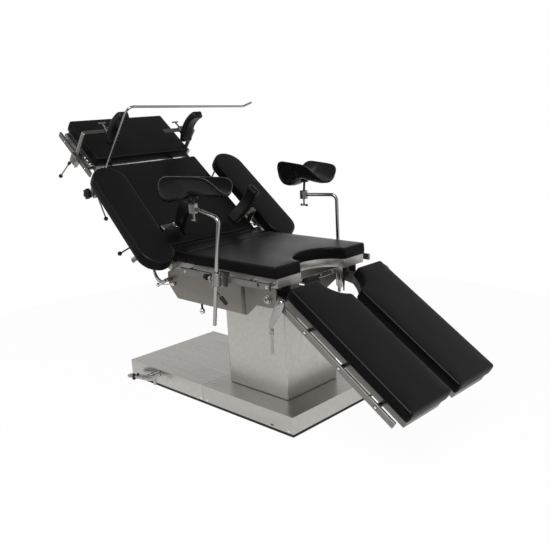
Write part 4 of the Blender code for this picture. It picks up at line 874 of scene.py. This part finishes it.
def saddle_pose(name):
    """How a trough is turned on its socket."""
    pose = Matrix.Identity(4)
    for key, axis in (("yaw", "Z"), ("pitch", "Y"), ("roll", "X")):
        pose @= Matrix.Rotation(radians(SADDLE[name][key]), 4, axis)
    return pose


class TABLE_OT_leg_crutches(bpy.types.Operator):
    """The crutches' rods, sockets and trough cushions"""

    bl_idname = "table.leg_crutches"
    bl_label = "Leg crutches"

    def execute(self, context):
        for name, side in SIDES.items():
            place = crutch_place(name, side)
            end = arm_end(name, side)
            path = rounded_path([(0, 0, -0.190), (0, 0, ARM_HEIGHT), tuple(end)], 0.025)
            piece(name + "_crutch_bar", name + "_crutch", "bar_steel",
                  swept(path, 0.0075, 24), place, [name + "_crutch_rod"], sharp=50)
            here = Matrix.Translation(place @ end)
            pose = here @ saddle_pose(name)
            self.socket(name, here, pose)
            form, rim = self.trough(name)
            made = piece(name + "_trough", name + "_saddle", "trough_cover", form, pose,
                         [name + "_crutch_pad"], sharp=0)
            smooth = made.modifiers.new("soft", "SUBSURF")
            smooth.levels = 1
            smooth.render_levels = 1
            # Piping along the rim, in a lighter cover that is partly a painted highlight.
            kept = [point for i, point in enumerate(rim)
                    if (point - rim[i - 1]).length > 0.0015]
            piece(name + "_trough_piping", name + "_saddle", "piping_highlight_cover", bead(kept, 0.0016),
                  pose, sharp=0)
        return {"FINISHED"}

    def socket(self, name, here, pose):
        """The eight-sided socket, its T screw, and the stem and black collar under the trough."""
        top = SADDLE[name]["height"]
        octagon = turned([(0.0165, -0.018), (0.018, -0.0165), (0.018, 0.0165), (0.0165, 0.018)],
                         (0, 0, 0), (0, 0, 1), 8)
        tee_low = -0.045
        lever = bar((0, 0, -0.016), (0, 0, tee_low), 0.004, 16)
        tee = bar((-0.016, 0, tee_low), (0.016, 0, tee_low), 0.004, 16)
        piece(name + "_socket", name + "_saddle", "clamp_steel", [octagon, lever, tee], here,
              [name + "_crutch_socket"])
        ends = [ball((x, 0, tee_low), 0.0056) for x in (-0.015, 0.015)]
        piece(name + "_tee_ends", name + "_saddle", "black_plastic", ends, here)
        stem = turned([(0.005, 0.012), (0.005, top - 0.011)], (0, 0, 0), (0, 0, 1), 20)
        collar = turned([(0.0158, top - 0.012), (0.017, top - 0.0108), (0.017, top - 0.0028),
                         (0.0158, top - 0.0016)], (0, 0, 0), (0, 0, 1), 28)
        piece(name + "_collar", name + "_saddle", "black_plastic", [stem, collar], pose)

    def trough(self, name):
        """A padded leg trough: walls with level rims, and a floor that falls to its ends."""
        height = SADDLE[name]["height"]
        head_fall = SADDLE[name]["fall"]
        wide, thick, wall_high = 0.155, 0.020, 0.050
        columns, rows = 20, 32
        form = bmesh.new()
        top = []
        bottom = []
        for i in range(rows + 1):
            u = 0.995 * sin(pi * (i / rows - 0.5))
            reach, fall = (0.137, head_fall) if u < 0 else (0.155, 0.008)
            sag = fall * ((1 - (1 - abs(u)) ** 2.2) if u < 0 else u * u)
            narrow = (1 - abs(u) ** 6) ** 0.42
            fat = thick * (0.35 + 0.65 * (1 - abs(u) ** 5) ** 0.5)
            upper = []
            lower = []
            for k in range(columns + 1):
                v = sin(pi * (k / columns - 0.5))
                lift = abs(v * narrow) ** 2.2
                y = v * narrow * wide / 2
                z = height + thick - sag + (wall_high + sag) * lift
                under = fat * (1 - 0.45 * lift) + 0.0035 * sin(pi * abs(v)) * narrow
                upper.append(form.verts.new((u * reach, y, z)))
                lower.append(form.verts.new((u * reach, y * (1 - 0.04 * lift), z - under)))
            top.append(upper)
            bottom.append(lower)
        for i in range(rows):
            for k in range(columns):
                form.faces.new((top[i][k], top[i + 1][k], top[i + 1][k + 1], top[i][k + 1]))
                form.faces.new((bottom[i][k], bottom[i][k + 1], bottom[i + 1][k + 1],
                                bottom[i + 1][k]))
            for k in (0, columns):
                form.faces.new((top[i][k], top[i + 1][k], bottom[i + 1][k], bottom[i][k]))
        for i in (0, rows):
            for k in range(columns):
                form.faces.new((top[i][k], top[i][k + 1], bottom[i][k + 1], bottom[i][k]))
        rim = [row[0] for row in top] + top[-1][1:] + [row[-1] for row in top[-2::-1]]
        rim += top[0][-2:0:-1]
        return form, [vert.co.copy() for vert in rim]


def bead(points, radius, sides=10):
    """A closed cord of piping along a loop of places."""
    form = bmesh.new()
    rings = []
    count = len(points)
    side = None
    for i, point in enumerate(points):
        run = (points[(i + 1) % count] - points[i - 1]).normalized()
        side = Vector((0, 0, 1)) if side is None else side
        side = (side - run * side.dot(run)).normalized()
        up = run.cross(side)
        rings.append([form.verts.new(point + (side * cos(t) + up * sin(t)) * radius)
                      for t in turns(sides, 0.0)])
    turn = min(range(sides), key=lambda k: (rings[-1][k].co - rings[0][0].co).length)
    rings.append(rings[0][-turn:] + rings[0][:-turn] if turn else rings[0])
    walls(form, rings)
    return form


class TABLE_OT_screen(bpy.types.Operator):
    """The bent screen rod and the star knob of its clamp"""

    bl_idname = "table.screen"
    bl_label = "Screen rod"

    def execute(self, context):
        x = SCREEN_X
        path = rounded_path([(x, SCREEN_Y, SCREEN_FLOOR + GAP), (x, SCREEN_Y, 0.361),
                             (x, 0.378, 0.327), (x, 0.423, 0.347)], 0.030)
        piece("screen_bar", "screen", "bar_steel", swept(path, 0.005, 20), BACK,
              ["screen_rod"], sharp=50)
        z = BACK_RAIL - SCREEN_SCREW
        grip = star_grip(x, z, (-0.3460, -0.3280))
        hub = turned([(0.010, 0.0), (0.010, 0.0062)], (x, -0.3228, z), (0, -1, 0))
        piece("star_grip", "star_knob", "black_plastic", [grip, hub], BACK, ["star_knob"])
        return {"FINISHED"}


class TABLE_OT_rail_clamps(bpy.types.Operator):
    """The clamps on the rails, with the bent bars and levers that they carry"""

    bl_idname = "table.rail_clamps"
    bl_label = "Rail clamps"

    def execute(self, context):
        for name, side in SIDES.items():
            self.arm(name, side)
            self.shoulder(name, side)
            self.side(name, side)
            self.crutch(name, side)
        self.screen()
        return {"FINISHED"}

    def lever(self, name, body, start, end, place=BACK):
        """A thin lever, whose black ball and collar are a piece of their own."""
        way = (Vector(end) - Vector(start)).normalized()
        collar = bar(Vector(start) + way * 0.002, Vector(start) + way * 0.020, 0.0072)
        piece(name + "_ball", body, "black_plastic", [ball(end, 0.0095), collar], place)
        return bar(start, end, 0.0035, 16)

    def arm(self, name, side):
        """An arm board's clamp, with the strap and collar that it turns on."""
        middle = BACK_RAIL
        hub = (ARM_PIVOT, side * ARM[name]["centre"])
        plan = link_outline(hub, 0.018, (-0.125, side * 0.312), 0.014)
        collar = turned([(0.0086, -0.034), (0.017, -0.034), (0.018, -0.033), (0.018, -0.005),
                         (0.017, -0.004), (0.0086, -0.004)], (*hub, 0), (0, 0, 1), 32, True)
        lever = self.lever(name + "_arm_lever", "back", (-0.125, side * 0.322, middle - 0.018),
                           (-0.112, side * 0.392, middle - 0.036))
        forms = [jaw((-0.145, -0.105), side, middle, 0.036, 0.026, 0.030),
                 prism(plan, (-0.036, -0.020), "z", 0.001), collar, lever]
        piece(name + "_arm_grip", "back", "clamp_steel", forms, BACK, [name + "_arm_clamp"])

    def shoulder(self, name, side):
        """A shoulder support's clamp, its bent flat bar, and the hub and T screw on that."""
        x, z, middle = -SHOULDER[name]["place"], SHOULDER_BAR, HEAD_RAIL
        y = side * SHOULDER[name]["pad_y"]
        reach = SHOULDER[name]["reach"]
        body = name + "_shoulder"
        screw, tee = x - 0.016, x - 0.058
        flat = [(0.299, middle, 0.0), (0.305, middle, 0.0), (0.305, z + 0.003, 0.008),
                (reach, z + 0.003, 0.001), (reach, z - 0.003, 0.001), (0.299, z - 0.003, 0.003)]
        nose = prism([(x - 0.004, middle - 0.024), (x + 0.016, middle - 0.024),
                      (x + 0.012, middle - 0.044), (x + 0.007, middle - 0.050)],
                     (side * 0.286, side * 0.300), "y", 0.0015)
        forms = [jaw((x - 0.018, x + 0.020), side, middle, 0.028, 0.024, 0.022), nose,
                 strip([(side * a, b, r) for a, b, r in flat], (x - 0.011, x + 0.011)),
                 block((x - 0.017, x + SHOULDER_HUB), (y - 0.014, y + 0.014),
                       (z - 0.010, z + 0.010), 0.002),
                 bar((screw, y, z), (tee, y, z), 0.004),
                 bar((tee, y - 0.018, z), (tee, y + 0.018, z), 0.004),
                 bar((x, y, z), (x + 0.0185, y, z), 0.009)]
        forms.append(self.lever(name + "_shoulder_lever", body,
                                (x - 0.014, side * 0.313, middle - 0.030),
                                (x - 0.038, side * 0.322, middle - 0.135)))
        piece(name + "_shoulder_holder", body, "clamp_steel", forms, BACK,
              [name + "_shoulder_bracket"])

    def side(self, name, side):
        """A side support's clamp, its bent flat bar with the pin's eye, and its flat blade."""
        middle = BACK_RAIL
        y, z = side * SIDE_PAD_PIN[0], SIDE_PAD_PIN[1]
        foot, shelf = middle + 0.0145, middle + 0.0195
        upright, tip = (0.2606, 0.2661), 0.2075
        flat = [(0.300, foot, 0.0), (0.300, shelf, 0.0), (upright[1], shelf, 0.001),
                (upright[1], z + 0.003, 0.006), (tip, z + 0.003, 0.001), (tip, z - 0.003, 0.001),
                (upright[0], z - 0.003, 0.001), (upright[0], foot, 0.005)]
        eye = prism(link_outline((y, z), 0.009, (side * 0.2135, z), 0.003), (-0.073, -0.063),
                    "x", 0.0008)
        blade = swept([(-0.072, side * 0.304, middle - 0.016),
                       (-0.078, side * 0.314, middle - 0.036),
                       (-0.092, side * 0.330, middle - 0.078)], [0.0080, 0.0105, 0.0120],
                      flat=0.3)
        forms = [jaw((-0.084, -0.047), side, middle, 0.018, 0.026, 0.020),
                 strip([(side * a, b, r) for a, b, r in flat], (-0.080, -0.056)), eye, blade]
        piece(name + "_side_holder", "back", "clamp_steel", forms, BACK, [name + "_side_bracket"])

    def screen(self):
        """The screen's clamp: its jaw, the rod's socket, the star knob's screw and a lever."""
        middle, x, screw = BACK_RAIL, SCREEN_X, BACK_RAIL - SCREEN_SCREW
        low, high, floor = middle + 0.014, middle + 0.054, SCREEN_FLOOR
        socket = turned([(0.0, low), (0.012, low), (0.012, high - 0.001), (0.011, high),
                         (0.0054, high), (0.0054, floor), (0.0, floor)],
                        (x, SCREEN_Y, 0), (0, 0, 1))
        forms = [jaw((x - 0.019, x + 0.019), -1, middle, 0.025, 0.058, 0.022), socket,
                 bar((x, -0.310, screw), (x, -0.3225, screw), 0.005),
                 self.lever("screen_lever", "back", (x + 0.016, -0.305, middle - 0.030),
                            (x + 0.155, -0.330, middle - 0.050))]
        piece("screen_grip", "back", "clamp_steel", forms, BACK, ["screen_clamp"])

    def crutch(self, name, side):
        """A crutch's clamp, with the rod's socket, the toggle and its black knob and grip."""
        x = CRUTCH[name]["x"]
        body = name + "_crutch_slide"
        lean = radians(CRUTCH[name]["lean"])
        way = (sin(lean), 0, cos(lean))
        middle = SEAT_RAIL
        y = side * 0.3095
        turn_x, low = x - 0.001, middle - 0.067
        boss = turned([(0.0083, -0.026), (0.0153, -0.026), (0.0165, -0.0248), (0.0165, 0.0248),
                       (0.0153, 0.026), (0.0083, 0.026)],
                      (x, side * ROD_OUT, ROD_HEIGHT), way, 36, True)
        nut = turned([(0.0, 0.0), (0.0075, 0.0), (0.0085, 0.001), (0.0085, 0.011), (0.0075, 0.012),
                      (0.0, 0.012)], (x - 0.047, y, middle), (-1, 0, 0), 10)
        lever = swept([(x - 0.053, y, middle), (x - 0.052, y, middle - 0.027),
                       (turn_x, y, low)], [0.0070, 0.0035, 0.0035])
        forms = [jaw((x - 0.025, x + 0.025), side, middle, 0.026, 0.028, 0.026), boss, nut, lever,
                 bar((x - 0.020, y, middle), (x - 0.067, y, middle), 0.004)]
        for end in (-1, 1):
            forms.append(disc((x + end * 0.017, side * 0.316, middle + 0.012), (0, side, 0),
                              0.0045, 0.0025))
        piece(name + "_crutch_grip", body, "clamp_steel", forms, LEVEL,
              [name + "_crutch_clamp"])
        knob = turned([(0.006, 0.0), (0.0105, 0.0015), (0.0122, 0.005), (0.0122, 0.015),
                       (0.0105, 0.0185), (0.007, 0.020)], (x - 0.066, y, middle), (-1, 0, 0), 24)
        grip = swept([(turn_x, y, low), (x + 0.003, y, middle - 0.070),
                      (x + 0.031, y, middle - 0.092)], [0.0055, 0.0085, 0.0072], 24)
        piece(name + "_crutch_knobs", body, "black_plastic", [knob, grip])


class TABLE_OT_trim(bpy.types.Operator):
    """Trim: the head tray's side members and a thin strip on its end, in steel brightened as
    painted highlight, and the band round the cut-out
    """

    bl_idname = "table.trim"
    bl_label = "Bright trim"

    def execute(self, context):
        start, end, low, high = -0.600, -0.826, -0.0800, -0.0528
        plan = [(start, low), (start, high), (end, high), (end, low)]
        for name, side in SIDES.items():
            member = prism(plan, (side * (TRAY_HALF + GAP), side * 0.2780), "y", 0.0015)
            bolts = [disc((x, side * 0.266, high), (0, 0, 1), 0.0060, 0.0030)
                     for x in (-0.612, -0.634, -0.656)]
            # The side members are in steel made brighter as painted highlight.
            piece(name + "_head_side", "head", "painted_highlight_steel", [member, *bolts], BACK)
        # A thin strip on the tray's end in brightened steel: a painted highlight between the head
        # and back cushions.
        highlight_strip = block((-0.5830, -0.5824), (-0.238, 0.238), (-0.0775, -0.0500), 0.0002)
        piece("head_tray_highlight_strip", "head", "painted_highlight_steel", highlight_strip, BACK)
        middle, reach, wide, thick = (0.470, 0.0), 0.109, 0.127, 0.0025
        inner = arc(middle, (reach, wide), 270, 90, 48)
        outer = arc(middle, (reach + thick, wide + thick), 90, 270, 48)
        band = prism(inner + outer, (0.5677, 0.6007), "z", 0.0004)
        piece("cutout_band", "long_tilt", "band_steel", band, LEVEL, ["notch_band"])
        return {"FINISHED"}


class TABLE_OT_under_seat(bpy.types.Operator):
    """The bracket and catches under the front of the seat, seen through the cut-out"""

    bl_idname = "table.under_seat"
    bl_label = "Under the seat"

    def execute(self, context):
        x, top, thick = 0.440, 0.5664, 0.0025
        face = x + thick
        sheet = [(-0.150, top), (-0.150, 0.556), (-0.060, 0.5465), (0.108, 0.5465), (0.110, 0.496),
                 (0.116, 0.490), (0.122, 0.496), (0.124, 0.540), (0.134, 0.540), (0.137, 0.484),
                 (0.142, 0.478), (0.147, 0.484), (0.149, 0.556), (0.149, top)]
        plate = prism(sheet, (x, face), "x", 0.0005)
        bolts = [disc((face, y, 0.5580), (1, 0, 0), 0.0050, 0.0035) for y in (0.020, 0.090)]
        piece("basin_bracket", "long_tilt", "handle_steel", [plate, *bolts], LEVEL)
        hang = x - 0.011
        forms = [block((x + 0.003, x + 0.022), (-0.082, -0.018), (0.538, top), 0.003),
                 block((x + 0.003, x + 0.012), (-0.018, 0.004), (0.531, 0.550), 0.003),
                 block((x - 0.022, x - 0.0005), (0.152, 0.196), (0.522, top), 0.006),
                 swept([(hang, 0.172, 0.526), (hang, 0.171, 0.500), (hang, 0.170, 0.458)],
                       [0.0055, 0.0048, 0.0025], 16)]
        piece("basin_catches", "long_tilt", "black_plastic", forms, LEVEL)
        return {"FINISHED"}


class TABLE_OT_handles(bpy.types.Operator):
    """Leg locks, levers, pull knob and brake pedal"""

    bl_idname = "table.handles"
    bl_label = "Handles"

    def execute(self, context):
        for name, side in SIDES.items():
            self.leg_lock(name, side)
        self.levers()
        self.pedal()
        return {"FINISHED"}

    def leg_lock(self, name, side):
        """A leg's locking handle: a flattened curved grip with a ring, on its pin."""
        y = side * (RAIL_FACE + 0.0113)
        places = [(0.0975, y, 0.108), (0.099, y, 0.086), (0.101, y, 0.050), (0.1035, y, -0.006),
                  (0.117, y, -0.028), (0.127, y, -0.042), (0.164, y, -0.0985)]
        path, radii = smooth_path(places, [0.016, 0.019, 0.0165, 0.0115, 0.0115, 0.0075, 0.007])
        forms = [swept(path, radii, 28, flat=0.55),
                 bar((0.106, side * (RAIL_FACE + GAP), 0.072), (0.106, y, 0.072), 0.009)]
        collar = Vector((0.1215, y, -0.0345))
        way = Vector((0.010, 0, -0.014)).normalized()
        ring = swept([collar - way * 0.003, collar + way * 0.003], 0.0118, 28, flat=0.6)
        head = disc((0.100, side * (RAIL_FACE + 0.0198), 0.078), (0, side, 0), 0.0075, 0.0030)
        piece(name + "_lock_handle", name + "_leg_lock", "handle_steel", forms + [ring, head], LEG,
              [name + "_leg_lock"])

    def levers(self):
        """The bridge's curved lever, the thin release lever and the small pull."""
        x, z = -0.178, LEG_PIVOT[2]
        y = -PLATE_FACE - 0.027
        path, radii = smooth_path([(x, y, z), (x - 0.028, y, z - 0.012), (x - 0.060, y, z + 0.002),
                                   (x - 0.079, y, z + 0.039)], [0.0075, 0.0085, 0.0075, 0.005])
        forms = [swept(path, radii), bar((x, -PLATE_FACE - GAP, z), (x, y, z), 0.009),
                 disc((x, y - 0.0065, z), (0, -1, 0), 0.005, 0.0020)]
        piece("bridge_handle", "bridge_lever", "handle_steel", forms, LEVEL, ["bridge_lever"])
        x, z = -0.154, 0.494
        y = -PLATE_FACE - 0.0085
        tip = (x - 0.107, y, z - 0.018)
        forms = [bar((x, y, z), tip, 0.0035), ball(tip, 0.009),
                 bar((x, -PLATE_FACE - GAP, z), (x, y - 0.006, z), 0.008)]
        piece("release_handle", "release_lever", "polished_steel", forms, LEVEL,
              ["release_lever"])
        x, y, low = 0.013, -PLATE_FACE + 0.0025, PLATE_BOTTOM - GAP - 0.040
        stem = turned([(0.0045, 0.020), (0.0050, 0.021), (0.0045, 0.024), (0.0045, 0.040)],
                      (x, y, low), (0, 0, 1))
        piece("pull_stem", "pull_knob", "black_plastic", stem, LEVEL, ["pull_knob"])
        grip = turned([(0.0, 0.0), (0.0075, 0.0008), (0.0108, 0.004), (0.012, 0.009),
                       (0.0112, 0.014), (0.0085, 0.0185), (0.0055, 0.0208)],
                      (x, y, low), (0, 0, 1))
        piece("pull_grip", "pull_knob", "polished_steel", grip, sharp=60)

    def pedal(self):
        """The brake pedal: a curved bar on its boss, a round tread and two black hubs."""
        x, y, z = -0.350, -0.300, 0.046
        path, radii = smooth_path([(-0.446, y, 0.034), (-0.405, y, 0.038), (x, y, z),
                                   (-0.290, y, 0.056), (-0.227, y, 0.088)],
                                  [0.009, 0.010, 0.013, 0.010, 0.006])
        tread = turned([(0.0, 0.0), (0.016, 0.0), (0.0185, 0.002), (0.019, 0.004), (0.019, 0.008),
                        (0.0175, 0.0095), (0.0, 0.010)], (-0.452, y, 0.026), (0, 0, 1), 36)
        forms = [swept(path, radii, 24), tread, bar((x, -0.243, z), (x, y - 0.010, z), 0.008),
                 bar((-0.274, y, 0.030), (-0.274, y, 0.058), 0.007),
                 disc((x, y - 0.0125, z), (0, -1, 0), 0.0065, 0.0025)]
        piece("pedal_arm", "pedal", "handle_steel", forms, LEVEL, ["brake_pedal"])
        hubs = [bar((-0.428, y - 0.006, 0.020), (-0.420, y - 0.006, 0.048), 0.0080),
                bar((-0.400, y - 0.004, 0.030), (-0.394, y - 0.004, 0.056), 0.0060)]
        piece("pedal_hubs", "pedal", "black_plastic", hubs)


RAIL_SCREWS = (
    # body, rail, its section's frame, height of the rail's middle, places along it
    ("long_tilt", "seat", LEVEL, SEAT_RAIL, (0.0, 0.458)),
    ("back", "back", BACK, BACK_RAIL, (-0.170, -0.300, -0.430)),
    ("head", "head", BACK, HEAD_RAIL, (-0.600, -0.790)),
    ("leg", "leg", LEG, LEG_RAIL, (0.229, 0.404, 0.581)),
)


class TABLE_OT_fasteners(bpy.types.Operator):
    """Rail screws and sleeves, the bolts and folds of the side plates, the base's screws"""

    bl_idname = "table.fasteners"
    bl_label = "Fasteners"

    def execute(self, context):
        self.rails()
        for name, side in SIDES.items():
            self.side_plate(name, side)
        self.base()
        return {"FINISHED"}

    def rails(self):
        """Screws on flat black discs and the seat rails' slots as flat black patches, all painted
        shade of recesses, and the sleeves of the leg rails' spacers.
        """
        head = [(0.0052, 0.0), (0.0052, 0.0006), (0.0040, 0.0011), (0.0024, 0.0011),
                (0.0020, 0.0004), (0.0, 0.0004)]
        sleeve = [(0.0050, 0.0), (0.0085, 0.0), (0.0090, 0.0005), (0.0090, 0.0335),
                  (0.0085, 0.0340), (0.0050, 0.0340)]
        slot = [(0.4151 + 0.0050 * cos(t), 0.583 + 0.0075 * sin(t)) for t in turns(32, 0.0)]
        for body, key, place, height, spots in RAIL_SCREWS:
            for name, side in SIDES.items():
                carrier = name + "_leg" if body == "leg" else body
                face, out = side * RAIL_FACE, (0, side, 0)
                heads = []
                # Flat black discs round the screws are painted shade of their recesses.
                shade_patches = []
                for x in spots:
                    shade_patches.append(disc((x, face, height), out, 0.0072, 0.0003, 0.0001))
                    heads.append(turned(head, (x, face, height), out, 24))
                    if key == "leg":
                        heads.append(turned(sleeve, (x, side * (TRAY_HALF + 0.0005), height),
                                            out, 24, True))
                # The seat rail's slot is a flat black patch of painted shade.
                if key == "seat":
                    shade_patches = [prism(slot, (face, side * (RAIL_FACE + 0.0004)), "y")]
                label = name + "_" + key + "_rail_"
                piece(label + "shade_patches", carrier, "black_paint", shade_patches, place)
                piece(label + "screws", carrier, "polished_steel", heads, place)

    def side_plate(self, name, side):
        """The leg's bolt, a small bolt and a thin raised band on the plate, in darker steel that
        is a painted dark reflection.
        """
        face = side * PLATE_FACE
        out = (0, side, 0)
        bolt = turned([(0.0, 0.0), (0.0165, 0.0), (0.0165, 0.0012), (0.0145, 0.0020),
                       (0.0145, 0.0080), (0.0120, 0.0098), (0.0060, 0.0102), (0.0055, 0.0075),
                       (0.0, 0.0075)], (LEG_PIVOT[0], face, LEG_PIVOT[2]), out, 12)
        small = disc((-0.163, face, 0.552), out, 0.0050, 0.0035)
        piece(name + "_plate_bolts", "long_tilt", "handle_steel", [bolt, small])
        # A thin raised band in darker steel: a painted dark reflection on the side plate.
        fold = [(0.258, 0.4325), (0.277, 0.4325), (0.277, 0.539), (0.274, 0.542), (0.261, 0.542),
                (0.258, 0.539)]
        piece(name + "_plate_reflection_band", "long_tilt", "dark_reflection_steel",
              prism(fold, (face, face + side * 0.0012), "y", 0.0010))

    def base(self):
        """Screws beside the seam between the covers, and at the corners."""
        half, top, low = 0.255, 0.081, 0.020
        spots = [((x, side * half, low), (0, side, 0)) for side in (-1, 1)
                 for x in (-0.013, 0.025, -0.490, 0.492)]
        spots += [((x, y, top), (0, 0, 1)) for x in (-0.013, 0.020) for y in (-0.207, 0.207)]
        heads = [turned([(0.0052, 0.0), (0.0052, 0.0007), (0.0038, 0.0014), (0.0022, 0.0014),
                         (0.0018, 0.0006), (0.0, 0.0006)], at, axis, 24) for at, axis in spots]
        piece("base_screws", "base", "polished_steel", heads)


NODE_FINISH = {
    "floor_plate": "black_paint", "base_cover_head": "sheet_steel",
    "base_cover_foot": "sheet_steel", "inner_column": "column_steel",
    "column_cover": "column_steel", "lift_ram": "polished_steel",
    "lift_cylinder": "machined_steel", "column_head": "machined_steel",
    "tilt_cross": "machined_steel", "seat_frame": "front_steel", "kidney_carrier": "rail_steel",
    "back_frame": "back_steel", "head_frame": "back_steel",
}
SIDE_FINISH = {
    "_seat_rail": "rail_steel", "_side_plate": "plate_steel", "_back_rail": "back_steel",
    "_leg_frame": "leg_steel", "_arm_carrier": "clamp_steel",
}


class TABLE_OT_steelwork(bpy.types.Operator):
    """Finishes of the solids that keep their own shape"""

    bl_idname = "table.steelwork"
    bl_label = "Steelwork"

    def execute(self, context):
        finish = dict(NODE_FINISH)
        for name in SIDES:
            finish.update({name + key: value for key, value in SIDE_FINISH.items()})
        for name, material in finish.items():
            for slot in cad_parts[name].material_slots:
                slot.material = MATERIALS[material]
        return {"FINISHED"}


CAMERA_PLACE = (2.2092, -2.0074, 1.2212)
CAMERA_TURN = (44.8863, 13.7092, -3.0987)      # yaw, pitch and roll
LENS, SENSOR = 46.83, 36.0
FLOOR_RADIUS = 2.1
FLOOR_GLOW = 0.965
LAMPS = (
    # name, place, aim, size, power
    ("key", (2.0, -2.2, 3.4), (0.1, 0.0, 0.5), 2.2, 110.0),
    ("fill", (-1.8, -3.0, 2.2), (0.0, 0.0, 0.4), 2.5, 30.0),
)


class TABLE_OT_studio(bpy.types.Operator):
    """The pale floor, the light and the camera at the photograph's angle"""

    bl_idname = "table.studio"
    bl_label = "Studio"

    def execute(self, context):
        scene = context.scene
        scene.view_settings.view_transform = "Standard"
        self.camera(scene)
        self.floor()
        self.world(scene)
        self.lamps()
        return {"FINISHED"}

    def camera(self, scene):
        """The camera, fitted to the photograph's frame."""
        yaw, pitch, roll = (radians(a) for a in CAMERA_TURN)
        back = Vector((sin(yaw) * cos(pitch), -cos(yaw) * cos(pitch), sin(pitch)))
        level = Vector((cos(yaw), sin(yaw), 0))
        upright = back.cross(level)
        right = level * cos(roll) + upright * sin(roll)
        up = upright * cos(roll) - level * sin(roll)
        data = bpy.data.cameras.new("camera")
        data.lens = LENS
        data.sensor_width = SENSOR
        camera = bpy.data.objects.new("camera", data)
        camera.matrix_world = (Matrix.Translation(CAMERA_PLACE)
                               @ Matrix((right, up, back)).transposed().to_4x4())
        scene.collection.objects.link(camera)
        scene.camera = camera

    def floor(self):
        """A pale disc that keeps the table's shadow and fades into the white background."""
        tree, shader = start_material("pale_floor", Roughness=0.9,
                                      Base_Color=(0.92, 0.92, 0.92, 1))
        glow = node(tree, "Emission", {"Strength": 1.0})
        amount = node(tree, "Math", {0: self.seen(tree), 1: FLOOR_GLOW}, operation="MULTIPLY")
        mix = node(tree, "MixShader", {0: amount.outputs[0], 1: shader.outputs[0],
                                       2: glow.outputs[0]})
        tree.links.new(mix.outputs[0], tree.nodes["Material Output"].inputs[0])
        form = bmesh.new()
        bmesh.ops.create_circle(form, cap_ends=True, segments=96, radius=FLOOR_RADIUS)
        mesh = bpy.data.meshes.new("floor")
        form.to_mesh(mesh)
        form.free()
        mesh.materials.append(MATERIALS["pale_floor"])
        floor = bpy.data.objects.new("floor", mesh)
        bpy.context.scene.collection.objects.link(floor)

    def seen(self, tree):
        """1 for the rays that show the floor white: the camera's, and those through gloss."""
        path = node(tree, "LightPath")
        total = path.outputs["Is Camera Ray"]
        for kind in ("Is Glossy Ray", "Is Transmission Ray"):
            total = node(tree, "Math", {0: total, 1: path.outputs[kind]},
                         operation="MAXIMUM").outputs[0]
        return total

    def world(self, scene):
        """White behind the table, and paler or darker walls round it that its metal shows."""
        world = bpy.data.worlds.new("studio")
        world.use_nodes = True
        tree = world.node_tree
        way = node(tree, "TexCoord").outputs["Generated"]
        split = node(tree, "SeparateXYZ", {0: way})
        rise = ramp(tree, split.outputs[2], 0.22, 0.75, 0.95, 0.16)
        front = ramp(tree, split.outputs[1], -0.75, 0.10, 0.30, 1.0)
        level = node(tree, "Math", {0: rise, 1: front}, operation="MULTIPLY")
        light = node(tree, "Background", {"Color": (1, 1, 1, 1), "Strength": level.outputs[0]})
        white = node(tree, "Background", {"Color": (1, 1, 1, 1), "Strength": 1.0})
        path = node(tree, "LightPath")
        mix = node(tree, "MixShader", {0: path.outputs["Is Camera Ray"], 1: light.outputs[0],
                                       2: white.outputs[0]})
        tree.links.new(mix.outputs[0], tree.nodes["World Output"].inputs[0])
        scene.world = world

    def lamps(self):
        """A large soft key lamp over the foot end, and a weak fill from the head end."""
        for name, place, aim, size, power in LAMPS:
            data = bpy.data.lights.new(name, "AREA")
            data.size = size
            data.energy = power
            lamp = bpy.data.objects.new(name, data)
            lamp.location = place
            lamp.rotation_euler = (Vector(place) - Vector(aim)).to_track_quat("Z", "Y").to_euler()
            bpy.context.scene.collection.objects.link(lamp)


OPERATORS = (
    TABLE_OT_flat_cushions, TABLE_OT_arm_boards, TABLE_OT_body_supports, TABLE_OT_leg_crutches,
    TABLE_OT_screen, TABLE_OT_rail_clamps, TABLE_OT_trim, TABLE_OT_under_seat,
    TABLE_OT_handles, TABLE_OT_fasteners, TABLE_OT_steelwork, TABLE_OT_studio,
)


class TABLE_PT_looks(bpy.types.Panel):
    """Lists the operators and the properties"""

    bl_idname = "TABLE_PT_looks"
    bl_label = "Operating table"
    bl_space_type = "VIEW_3D"
    bl_region_type = "UI"
    bl_category = "Table"

    def draw(self, context):
        for group in (context.scene.table_sizes, context.scene.table_colours):
            for key in group.__annotations__:
                self.layout.prop(group, key)
        for operator in OPERATORS:
            self.layout.operator(operator.bl_idname)


CLASSES = (TableSizes, TableColours, *OPERATORS, TABLE_PT_looks)


def register():
    for kind in CLASSES:
        bpy.utils.register_class(kind)
    bpy.types.Scene.table_sizes = bpy.props.PointerProperty(type=TableSizes)
    bpy.types.Scene.table_colours = bpy.props.PointerProperty(type=TableColours)


def unregister():
    del bpy.types.Scene.table_sizes
    del bpy.types.Scene.table_colours
    for kind in reversed(CLASSES):
        bpy.utils.unregister_class(kind)


def main():
    """Registers the classes, makes the materials and every piece."""
    register()
    make_materials()
    for operator in OPERATORS:
        group, name = operator.bl_idname.split(".")
        getattr(getattr(bpy.ops, group), name)()


if __name__ == "__main__":
    main()
